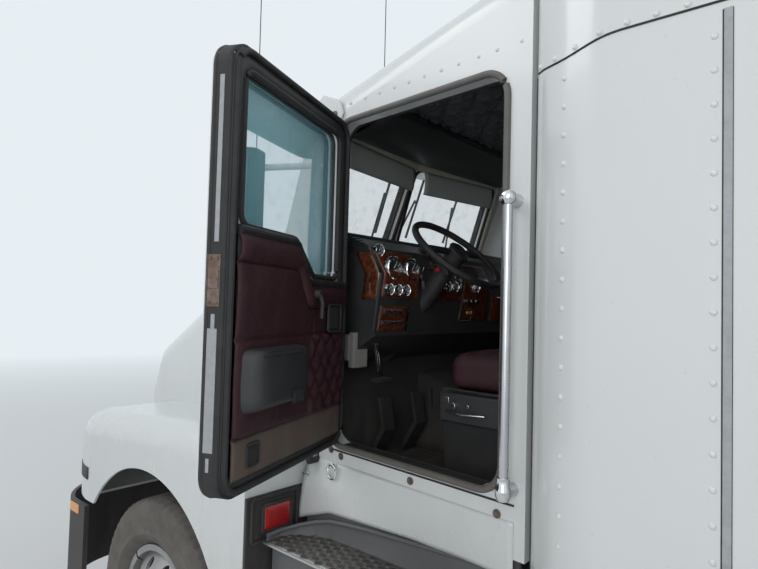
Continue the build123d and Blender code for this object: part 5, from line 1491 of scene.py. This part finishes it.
    def seats(self) -> None:
        """Two high-backed seats with piping, skirt and knobs, and the bunk's mattress."""
        forms = Shape()
        for side in (1, -1):
            y0, y1 = sorted((side * 0.2, side * 0.686))
            self.pillow(forms, (3.775, y0, 0.455), (4.125, y1, 0.584), 0.045, 0.02, (-0.45, 0.05, 0.55))
            first = len(forms.mesh.verts)
            self.pillow(forms, (-0.055, y0 + 0.005, 0.0), (0.055, y1 - 0.005, 0.745), 0.045, 0.022, face=0)
            for v in list(forms.mesh.verts)[first:]:
                z = v.co.z
                if v.co.x > 0:
                    for level in (0.15, 0.3, 0.45, 0.575):
                        v.co.x -= 0.01 * exp(-((z - level) / 0.012) ** 2)
                v.co.x += 3.842 - 0.11 * z / 0.745 + 0.01
                v.co.x = max(v.co.x, 3.7295)
                v.co.z = 0.57 + z
        seat = forms.piece("seat_cushions", SHADED_BURGUNDY, smooth=70.0)
        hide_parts("seats")
        trims = Shape()
        for side in (1, -1):
            y, z = side * 0.69, 0.452
            trims.tube([(3.8, y, z), (3.96, y + side * 0.002, z), (4.12, y - side * 0.01, z)], 0.006, 6)
            trims.tube(
                [(3.8, side * 0.2, 0.6), (3.95, side * 0.185, 0.74), (4.08, side * 0.19, 0.755)], 0.018, 10)
        trims.piece("seat_piping", BLACK_VINYL)
        base = Shape().box((3.8, 0.683, 0.33), (4.155, 0.697, 0.44))
        base.box((4.15, 0.255, 0.33), (4.163, 0.64, 0.44))
        base.piece("seat_skirt", PLASTIC, bevel=0.006)
        knobs = Shape().rod((4.08, 0.697, 0.395), (4.08, 0.722, 0.397), 0.011, 14, 0.013)
        knobs.rod((4.02, 0.697, 0.4), (4.02, 0.716, 0.4), 0.008, 12)
        knobs.tube([(4.12, 0.705, 0.372), (4.04, 0.716, 0.368), (3.95, 0.705, 0.372)], 0.004, 6)
        knobs.box((4.11, 0.697, 0.402), (4.148, 0.701, 0.424))
        knobs.piece("seat_controls", CHROME, bevel=0.001)
        bed = Shape()
        self.pillow(
            bed, (2.052, -1.028, 0.402), (2.788, 1.028, 0.528), 0.04, 0.016, (-0.6, -0.2, 0.2, 0.6), count=34)
        mattress = bed.piece("mattress", CLOTH, smooth=70.0)
        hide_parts("bunk")

    def build(self) -> None:
        """Make every piece."""
        self.liners()
        self.roof()
        self.dashboard()
        self.controls()
        self.seats()


@dataclass
class Sleeper:
    """Rivets, seams, painted shade bands, luggage doors and vents on the sleeper."""

    pitch: float = 0.078
    columns: tuple[float, ...] = (3.514, 3.155, 2.73, 2.3)
    seam: float = 1.47
    low: float = -0.05
    radius: float = 0.0085

    def edge(self, x: float) -> float:
        """Height of the riveted seam, which dips a little where the side turns in."""
        return self.seam + 0.001 - 0.012 * (1 - cos(2 * pi * clamp((x - 3.36) / 0.33)))

    def strip(self, shape: Shape, x0: float, x1: float, y: float, out: float, high: float) -> None:
        """Add a thin upright strip that stands out from the side at y."""
        y0, y1 = sorted((y, y + copysign(out, y)))
        shape.box((x0, y0, self.low + 0.01), (x1, y1, high))

    def build(self) -> None:
        """Make every piece."""
        rows, seams, shade_bands = [], Shape(), Shape()
        for side in (1, -1):
            rivet = ((0, side, 0), Head.RIVET, self.radius, 0.0045)

            def on_seam(x: float, up: float = 0.0) -> Triple:
                """A point on the riveted seam, or above it."""
                return x, side * (sleeper_y(x) + 0.0005), self.edge(x) + up

            for x in self.columns:
                y = side * sleeper_y(x)
                rows.append(([(x, y, self.low + 0.04 + self.pitch * i) for i in range(19)], *rivet))
                # The grey band between each column's two seams is painted shade, standing for the shaded face
                # where the panels overlap.
                self.strip(shade_bands, x - 0.0365, x - 0.018, y, 0.0009, self.seam - 0.018)
                for back, front in ((0.0185, 0.0155), (0.0375, 0.036)):
                    self.strip(seams, x - back, x - front, y, 0.0012, self.seam - 0.02)
            rows.append(([on_seam(3.618 - 0.068 * i, 0.015) for i in range(23)], *rivet))
            seams.tube([on_seam(3.632 - 0.03 * i) for i in range(54)], 0.0032, 6)
            seams.tube([(3.6375, side * 0.966, z) for z in (self.low, 0.5, 1.0, 1.455)], 0.004, 6)
        STUDS.add("sleeper_rivets", WHITE, rows)
        seams.piece("sleeper_seams", RUBBER)
        shade_bands.piece("sleeper_shade_bands", GREY_EDGE_AND_SHADE_BAND, slot="white_paint")
        doors, latches = Shape(), Shape()
        for side in (1, -1):
            y = side * 1.0905
            for edges in ((2.35, 2.68, 0.03, 0.52, 0.04), (2.04, 2.26, 0.3, 0.76, 0.03)):
                doors.loop([(x, y, z) for x, z in rounded(*edges)], 0.0045, 6)
            for x, z in ((2.4, 0.275), (2.078, 0.53)):
                latches.lathe(((0, 0.026), (0.004, 0.024), (0.006, 0.014), (0.01, 0.012), (0.011, 0.0005)),
                              (x, y, z), (0, side, 0), 24)
                latches.rod((x, y + side * 0.008, z - 0.02), (x, y + side * 0.008, z + 0.02), 0.004, 8)
            for i in range(7):
                doors.tube([(x, y, 1.23 - 0.018 * i) for x in (2.79, 2.96)], 0.004, 6)
        doors.piece("locker_seals", RUBBER)
        latches.piece("locker_latches", CHROME)


@dataclass
class Steps:
    """The perforated tread with painted shade in its holes, its fairing and the cab's lower skirt."""

    plate_z: float = -0.15
    lip: tuple[Triple, ...] = (
        (3.7, 0.92, -0.04), (3.9, 0.92, -0.045), (4.1, 0.92, -0.056), (4.3, 0.92, -0.068),
        (4.42, 0.921, -0.078), (4.5, 0.928, -0.086), (4.56, 0.95, -0.098), (4.61, 0.99, -0.112),
        (4.645, 1.05, -0.124), (4.655, 1.11, -0.132))

    def build(self) -> None:
        """Make every piece."""
        for side, word in SIDES:
            path = [Vector((x, side * y, z)) for x, y, z in self.lip]
            count = len(path) - 1

            def fairing(u: float, v: float) -> Vector:
                """A point on the fairing between the lip and the tread."""
                i = min(int(v * count), count - 1)
                at = path[i].lerp(path[i + 1], v * count - i)
                return at + Vector((0, side * 0.012 * u * u, (self.plate_z - 0.004 - at.z) * u))

            def panel(u: float, v: float) -> Vector:
                """A point on the skirt under the sill."""
                x = 3.7 + 0.985 * v
                near = side_y(x) + 0.0015
                out = 0.917 if x < 4.46 else 0.917 + 0.35 * (x - 4.46) ** 2
                low = -0.038 - 0.036 * max(0.0, x - 3.9) - 0.3 * max(0.0, x - 4.52)
                ease = 1 - (1 - u) ** 2
                return Vector((x, side * (near + max(0.0, out - near) * ease), 0.128 + (low - 0.128) * u))

            wall = Shape().grid(fairing, 8, 60)
            wall.tube(around(Vector((0, side * 0.003, 0)), *path), 0.007)
            wall.piece("step_fairing_" + word, DARK_GREY, smooth=50, thick=0.003)
            skirt = Shape().grid(panel, 14, 44)
            skirt.piece("cab_skirt_" + word, WHITE, smooth=60, thick=0.003)
            spots = []
            for i in range(25):
                for j in range(5):
                    x = 4.628 - 0.037 * i
                    y = side * (0.95 + 0.036 * j + (0.018 if i % 2 else 0.0))
                    if x > 3.72 and abs(y) < 1.115 and not (x > 4.56 and abs(y) < 1.02 - (4.63 - x)):
                        spots.append((x, y))
            plate = Shape()
            plate.grid(
                lambda u, v: (3.695 + 0.96 * u, side * (0.918 + 0.208 * v), self.plate_z + 0.0006), 30, 8)
            plate.piece("tread_face_" + word, SHADED_TREAD, thick=0.001)
            # The collars are the perforations' rims; the black discs in them are painted shade, standing for
            # the dark seen through the holes.
            for name, slot, look, rise, radius, height in (
                    ("tread_collars_", "polished", SHADED_TREAD, 0.0006, 0.0148, 0.007),
                    ("tread_holes_", "black_rubber", MAT, 0.0012, 0.0118, 0.0068)):
                discs = [(x, y, self.plate_z + rise) for x, y in spots]
                STUDS.add(name + word, look, [(discs, (0, 0, 1), Head.DISC, radius, height)], slot=slot)


@dataclass
class Nose:
    """Hood's softened shell, lamp bezels and badge plates, and the straps, rings and lamps behind it."""

    edge_round: float = 0.11
    badge_ends: Pairs = ((6.035, 1.2149), (6.3, 1.12))
    profile: Pairs = ((4.7, 0.205), (5.13, 0.232), (6.2, 0.14), (6.3, 0.06), (6.4, -0.08), (6.42, -0.262))

    def build(self) -> None:
        """Make every piece."""
        self.soften_hood()
        for side, word in SIDES:
            housing, x = Shape(), 4.6875
            for edges, corner, radius, out in (((0.94, 1.168, -0.158, 0.006), 0.012, 0.006, 0.006),
                                               ((0.975, 1.118, -0.128, -0.024), 0.008, 0.005, 0.01)):
                housing.loop([(x - out, side * y, z) for y, z in rounded(*edges, corner)], radius, 6)
            housing.grid(lambda u, v: (x - 0.004, side * (0.938 + 0.232 * u), -0.16 + 0.168 * v), 8, 8)
            housing.piece("rear_lamp_housing_" + word, RUBBER, thick=0.004)
            lens = Shape()
            lens.grid(lambda u, v: (x - 0.008 - 0.006 * min(1, 8 * u * (1 - u)) * min(1, 8 * v * (1 - v)),
                                    side * (0.978 + 0.137 * u), -0.125 + 0.098 * v), 14, 12)
            lens.piece("rear_lamp_lens_" + word, RED, thick=0.003)
            strap = Shape()
            y = side * 0.905
            strap.tube(
                [(4.69, y + side * 0.006, 0.215), (4.668, y + side * 0.012, 0.165), (4.64, y, 0.12)], 0.011)
            strap.rod((4.64, y - side * 0.035, 0.12), (4.64, y + side * 0.02, 0.12), 0.013, 12)
            strap.piece("hood_strap_" + word, RUBBER)
            hook, hook_x = Shape(), 4.52
            near, far = (side * (side_y(hook_x) + off) for off in (-0.004, 0.026))
            hook.rod((hook_x, near, 0.118), (hook_x, far, 0.118), 0.008, 12)
            y = side * (side_y(hook_x) + 0.03)
            hook.loop([(hook_x + 0.024 * cos(t), y, 0.1 + 0.028 * sin(t))
                       for t in (2 * pi * k / 20 for k in range(20))], 0.006)
            hook.rod((4.664, side * 0.882, 0.06), (4.664, side * 0.905, 0.06), 0.01, 12)
            hook.tube([(4.664, side * 0.9, 0.06), (4.676, side * 0.925, 0.066)], 0.005)
            hook.piece("catch_ring_" + word, CHROME)
            centre, radius = circle(*FENDER_BEND)
            start, end = (atan2(y - centre.y, x - centre.x) for x, y in self.badge_ends)

            def badge(u: float, v: float) -> Triple:
                """A point of the badge plate, bent round the fender."""
                t, reach = start + (end - start) * u, radius + 0.002
                y = centre.y + reach * sin(t)
                return centre.x + reach * cos(t), side * y, -0.196 + 0.062 * v

            Shape().grid(badge, 12, 2).piece("badge_plate_" + word, PLASTIC, "hood", thick=0.004)
            path = rounded(0.74, 1.07, -0.24, -0.09, 0.04)
            bezel = Shape().loop([(self.face(y), side * y, z) for y, z in path], 0.009)
            bezel.piece("lamp_bezel_" + word, CHROME, "hood")

    def depth(self, point: Pair, outline: Outline) -> tuple[float, Vector]:
        """Distance from a point to an open outline and the way across its nearest part."""
        best, way = 9.0, Vector((0, 0))
        p = Vector(point)
        for start, end in zip(outline, outline[1:]):
            a, b = Vector(start), Vector(end)
            t = clamp((p - a).dot(b - a) / (b - a).length_squared)
            off = p - a.lerp(b, t)
            if off.length < best:
                best, way = off.length, Vector(((b - a).y, -(b - a).x)).normalized()
        return best, way

    def soften_hood(self) -> None:
        """The hood's own shell with its fender edges rounded as on the moulded one."""
        shell = Shape()
        mesh = shell.mesh
        mesh.from_mesh(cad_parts["hood"].data)
        bmesh.ops.remove_doubles(mesh, verts=mesh.verts, dist=2e-5)
        first, _, last = FENDER_BEND
        centre, radius = circle(*FENDER_BEND)
        begin, end = (atan2(y - centre.y, x - centre.x) for x, y in (first, last))
        plan = [(4.6, 1.18), (4.9, 1.215), first]
        plan += [(centre.x + radius * cos(t), centre.y + radius * sin(t))
                 for t in (begin + (end - begin) * i / 12 for i in range(1, 13))]
        plan.append((6.56, 0.56))

        def near(c: Vector) -> tuple[float, Vector, float, Vector, float]:
            """Depths of a place under both outlines and the rounding that holds there."""
            reach = self.edge_round * clamp((c.z + 0.1) / 0.16) * clamp((c.x - 4.72) / 0.1)
            d1, n1 = self.depth((c.x, abs(c.y)), plan)
            d2, n2 = self.depth((c.x, c.z), self.profile)
            return d1, n1, d2, n2, reach

        def wanted(c: Vector) -> bool:
            """Whether a place is in the rounded zone."""
            if abs(c.y) < 0.6 or c.z < -0.12 or c.x < 4.7:
                return False
            d1, _, d2, _, reach = near(c)
            return d1 < reach + 0.03 and d2 < reach + 0.03

        for length in (0.12, 0.06, 0.03, 0.018):
            inside = {v: wanted(v.co) for v in mesh.verts}
            long = [e for e in mesh.edges if e.calc_length() > length and
                    (any(inside[v] for v in e.verts) or wanted((e.verts[0].co + e.verts[1].co) / 2))]
            bmesh.ops.subdivide_edges(mesh, edges=long, cuts=1)
            bmesh.ops.triangulate(mesh, faces=[f for f in mesh.faces if len(f.verts) > 3])
        moved = []
        for v in mesh.verts:
            if not wanted(v.co):
                continue
            d1, n1, d2, n2, reach = near(v.co)
            if d1 >= reach or d2 >= reach:
                continue
            off = Vector((reach - d1, reach - d2))
            off *= max(off) / off.length
            push1, push2 = reach - off.x - d1, reach - off.y - d2
            v.co += Vector((n1.x, copysign(n1.y, -v.co.y if n1.y < 0 else v.co.y), 0)) * push1
            v.co += Vector((n2.x, 0, n2.y)) * push2
            moved.append(v)
        for _ in range(5):
            bmesh.ops.smooth_vert(
                mesh, verts=moved, factor=0.5, use_axis_x=True, use_axis_y=True, use_axis_z=True)
        log.info("softened hood: %d faces", len(mesh.faces))
        piece = shell.piece("hood_shell", WHITE, "hood", smooth=22.0)
        even_out(piece)
        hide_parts("hood")

    def face(self, y: float) -> float:
        """Where the fender's front stands, seen from above."""
        if y < 0.9:
            return 6.56 - 0.12 * (y - 0.56) / 0.34 + 0.001
        return 6.441 - 0.15 * ((y - 0.9) / 0.225) ** 1.6


@dataclass
class Wheels:
    """Treaded tyres in place of the plain ones, wheel nuts, hub bolts and valve stems."""

    tread_depth: float = 0.014
    blocks: int = 64
    nut_circle: float = 0.143
    wall: Pairs = (
        (-0.0907, 0.2865), (-0.0907, 0.2983), (-0.115, 0.318), (-0.129, 0.331), (-0.1365, 0.35),
        (-0.1375, 0.352), (-0.1375, 0.356), (-0.1365, 0.358), (-0.1385, 0.38), (-0.1395, 0.398),
        (-0.139, 0.425), (-0.1398, 0.427), (-0.139, 0.433), (-0.136, 0.436), (-0.134, 0.452),
        (-0.131, 0.462), (-0.126, 0.475))
    shoulder: tuple[Triple, ...] = ((-0.117, 0.4935, 0.6), (-0.108, 0.503, 1.0))
    crown: float = 0.5095
    grooves: tuple[float, ...] = (-0.06, -0.02, 0.02, 0.06)

    def profile(self) -> list[Triple]:
        """Tyre section as (across, radius, share of the block pattern), with round grooves."""
        outer = [(a, r, 0.0) for a, r in self.wall] + list(self.shoulder)
        tread = [(centre + off, self.crown - self.tread_depth * deep, 0.0 if deep else 0.25)
                 for centre in self.grooves
                 for off, deep in ((-0.0065, 0), (-0.0045, 1), (0.0045, 1), (0.0065, 0))]
        return outer + tread + [(-a, r, share) for a, r, share in reversed(outer)]

    def tyre(self, shape: Shape, x: float, y: float) -> None:
        """Add one tyre."""
        profile = self.profile()
        segments = self.blocks * 3

        def place(u: float, v: float) -> Vector:
            """A point on the tyre."""
            across, radius, share = profile[round(u * (len(profile) - 1))]
            slot = 1.0 if round(v * segments) % 3 == 0 else 0.0
            radius -= self.tread_depth * 0.7 * share * slot
            t = 2 * pi * v
            return Vector((x + radius * cos(t), y + across, AXLE_Z + radius * sin(t)))

        shape.grid(place, len(profile) - 1, segments, wrap=True)

    def build(self) -> None:
        """Make every piece."""
        for side, word in SIDES:
            groups = [("front_wheel_" + word, "front_tyre_" + word, FRONT_AXLE_X, (1.043,), 1.1835)]
            groups += [(axle + "_wheels_" + word, axle + "_tyres_" + word, x, (1.085, 0.742), 0.9275)
                       for axle, x in zip(("mid", "rear"), DRIVE_AXLES)]
            for body, node, x, centres, face in groups:
                rubber = Shape()
                for y in centres:
                    self.tyre(rubber, x, side * y)
                tyre = rubber.piece(node + "_treaded", TYRE, body, smooth=32.0)
                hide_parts(node)
                nuts = [(ring((x, side * (face + out), AXLE_Z), self.nut_circle, 10), (0, side, 0), *form)
                        for out, form in ((0.0, (Head.NUT, 0.0165, 0.03)), (0.01, (Head.DISC, 0.01, 0.04)))]
                STUDS.add(body + "_nuts", RUSTY_NUT, nuts, body)
                stem = Shape()
                stem.tube([(x + ahead, side * (face + out), AXLE_Z + up) for ahead, out, up in (
                    (0.1, -0.01, 0.215), (0.105, 0.012, 0.235), (0.112, 0.016, 0.262))], 0.004, 6)
                stem.piece(body + "_valve", RUBBER, body)


@dataclass
class Chassis:
    """Tank straps and caps, rail bolts, tail lamps, the muffler's guard and clamps, and flap ribs."""

    rail_y: float = 0.4325
    tank_y: float = 0.805
    tank_z: float = -0.565

    def tanks(self) -> None:
        """Bright straps with rubber under them, and a filler cap on each tank."""
        straps, pads, caps = Shape(), Shape(), Shape()
        for side in (1, -1):
            for x in (2.42, 2.91, 3.4):
                for shape, radius, half in ((pads, 0.3268, 0.034), (straps, 0.33, 0.027)):
                    def strap(u: float, v: float) -> Triple:
                        """A point of a band round the tank."""
                        t = radians(-115 + 230 * v)
                        y = self.tank_y + radius * cos(t)
                        return x - half + 2 * half * u, side * y, self.tank_z + radius * sin(t)

                    shape.grid(strap, 2, 48)
            caps.lathe(((0, 0.055), (0.012, 0.055), (0.014, 0.046), (0.04, 0.045), (0.044, 0.04),
                        (0.045, 0.0006)), (2.66, side * 0.96, -0.28), (0, side * 0.47, 0.88), 30)
        pads.piece("strap_pads", RUBBER, thick=0.002)
        straps.piece("tank_straps", CHROME, thick=0.003)
        caps.piece("tank_caps", CHROME)

    def frame_bolts(self) -> None:
        """Bolt heads in rows down the rails."""
        rows = []
        for side in (1, -1):
            y = side * self.rail_y
            for low, high, count in ((-1.55, -1.25, 4), (-0.95, -0.45, 6), (0.45, 0.95, 6), (1.3, 1.9, 6)):
                rows += [(line((low, y, z), (high, y, z), count), (0, side, 0), Head.NUT, 0.012, 0.018)
                         for z in (-0.235, -0.34)]
        STUDS.add("rail_bolts", CASTING, rows)

    def lamps(self) -> None:
        """Red tail lamps with rubber rings on the rear bar."""
        lens, rings = Shape(), Shape()
        for side in (1, -1):
            for y in (0.43, 0.56):
                lens.lathe(((-0.0005, 0.05), (-0.01, 0.047), (-0.0165, 0.03), (-0.0172, 0.0005)),
                           (-1.726, side * y, -0.45), (1, 0, 0), 36)
                rings.loop(ring((-1.7275, side * y, -0.45), 0.054, 32, "X"), 0.006)
        for v in lens.mesh.verts:
            v.co.x = min(v.co.x, -1.7262)
        lens.piece("tail_lenses", RED)
        rings.piece("tail_rings", RUBBER)

    def exhaust(self) -> None:
        """Barred heat guard and clamps on the muffler."""
        guard, clamps = Shape(), Shape()
        x, y = 1.86, -0.76
        for i in range(17):
            t = radians(-100 - 160 * i / 16)
            way = Vector((cos(t), sin(t), 0))
            guard.tube([Vector((x, y, z)) + way * 0.138 for z in (0.32, 0.8, 1.26)], 0.0065, 6)
        for z in (0.34, 0.8, 1.24):
            guard.loop(ring((x, y, z), 0.134, 36, "Z"), 0.006, 6)
        for z in (0.285, 1.305):
            clamps.loop(ring((x, y, z), 0.1265, 36, "Z"), 0.01)
        guard.piece("heat_guard", CHROME)
        clamps.piece("muffler_clamps", ALLOY)

    def flaps(self) -> None:
        """Ribs on the mud flaps."""
        ribs = Shape()
        for side in (1, -1):
            for i in range(11):
                y = side * (0.655 + 0.052 * i)
                ribs.box((-1.585, y - 0.004, -0.98), (-1.5765, y + 0.004, -0.33))
        ribs.piece("flap_ribs", RUBBER)

    def build(self) -> None:
        """Make every piece."""
        self.tanks()
        self.frame_bolts()
        self.lamps()
        self.exhaust()
        self.flaps()


NODES_OF: tuple[tuple[Look, str], ...] = (
    (FRAME_BLACK, "frame_rails crossmembers radiator fifth_wheel_base body_mounts tail_lamps"),
    (CASTING, "fifth_wheel_plate front_axle front_springs drive_axles rear_suspension engine_block "
              "drive_shafts knuckle_left knuckle_right"),
    (WHITE, "cab_shell cab_roof sleeper_body sleeper_roof hood sun_visor mirror_left mirror_right "
            "door_left door_right"),
    (CLEAR, "windshield"),
    (SKY_TINTED_GLASS, "door_left_glass door_right_glass"),
    (PLASTIC, "bumper splash_panels dashboard steering_column seat_bases"),
    (AMBER, "bumper_lamps"),
    (HEADLAMP, "headlamps"),
    (CHROME, "grille exhaust_stack"),
    (ALLOY, "fuel_tanks tread_plates grab_handles"),
    (DARK_GREY, "step_boxes"),
    (RUBBER, "mud_flaps"),
    (BLACK_VINYL, "steering_wheel"),
    (SHADED_BURGUNDY, "seats door_left_trim door_right_trim"),
    (CLOTH, "bunk"),
)
NODE_FINISHES = {node: look for look, nodes in NODES_OF for node in nodes.split()}


def finish_of(node: str) -> Look:
    """The finish of a frame node."""
    return NODE_FINISHES.get(node, TYRE if "tyre" in node else WHEEL_GREY)


def soften_tree() -> NodeTree:
    """A tree that joins a node's loose triangles and shades its shallow edges smooth."""
    tree = bpy.data.node_groups.new("soften", "GeometryNodeTree")
    tree.interface.new_socket("Geometry", in_out="INPUT", socket_type="NodeSocketGeometry")
    limit = tree.interface.new_socket("Angle", in_out="INPUT", socket_type="NodeSocketFloat")
    limit.default_value = radians(28)
    tree.interface.new_socket("Geometry", in_out="OUTPUT", socket_type="NodeSocketGeometry")
    start = grow(tree, "NodeGroupInput")
    merge = grow(tree, "GeometryNodeMergeByDistance", {"Geometry": start["Geometry"], "Distance": 0.00002})
    faces = grow(tree, "GeometryNodeSetShadeSmooth", {"Geometry": merge[0]})
    angle = grow(tree, "GeometryNodeInputMeshEdgeAngle")
    sharp = grow(tree, "FunctionNodeCompare", {0: angle["Unsigned Angle"], 1: start["Angle"]},
                 operation="GREATER_THAN")
    edges = grow(tree, "GeometryNodeSetShadeSmooth",
                 {"Geometry": faces[0], "Shade Smooth": False, "Selection": sharp[0]}, domain="EDGE")
    grow(tree, "NodeGroupOutput", {"Geometry": edges[0]})
    return tree


def dress_nodes() -> None:
    """Give every frame node its material and smooth shading."""
    tree = soften_tree()
    for name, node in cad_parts.items():
        if not node.material_slots:
            node.data.materials.append(None)
        for place in node.material_slots:
            place.material = material(finish_of(name))
        node.modifiers.new("soften", "NODES").node_group = tree
        even_out(node)
    log.info("dressed %d nodes", len(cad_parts))


def main() -> None:
    """Build the scene in order."""
    logging.basicConfig(level=logging.INFO, format="%(message)s")
    Studio().build()
    dress_nodes()
    Cab().build()
    for side, word in SIDES:
        Door(side, word).build()
    Interior().build()
    Sleeper().build()
    Steps().build()
    Nose().build()
    Wheels().build()
    Chassis().build()


if __name__ == "__main__":
    main()
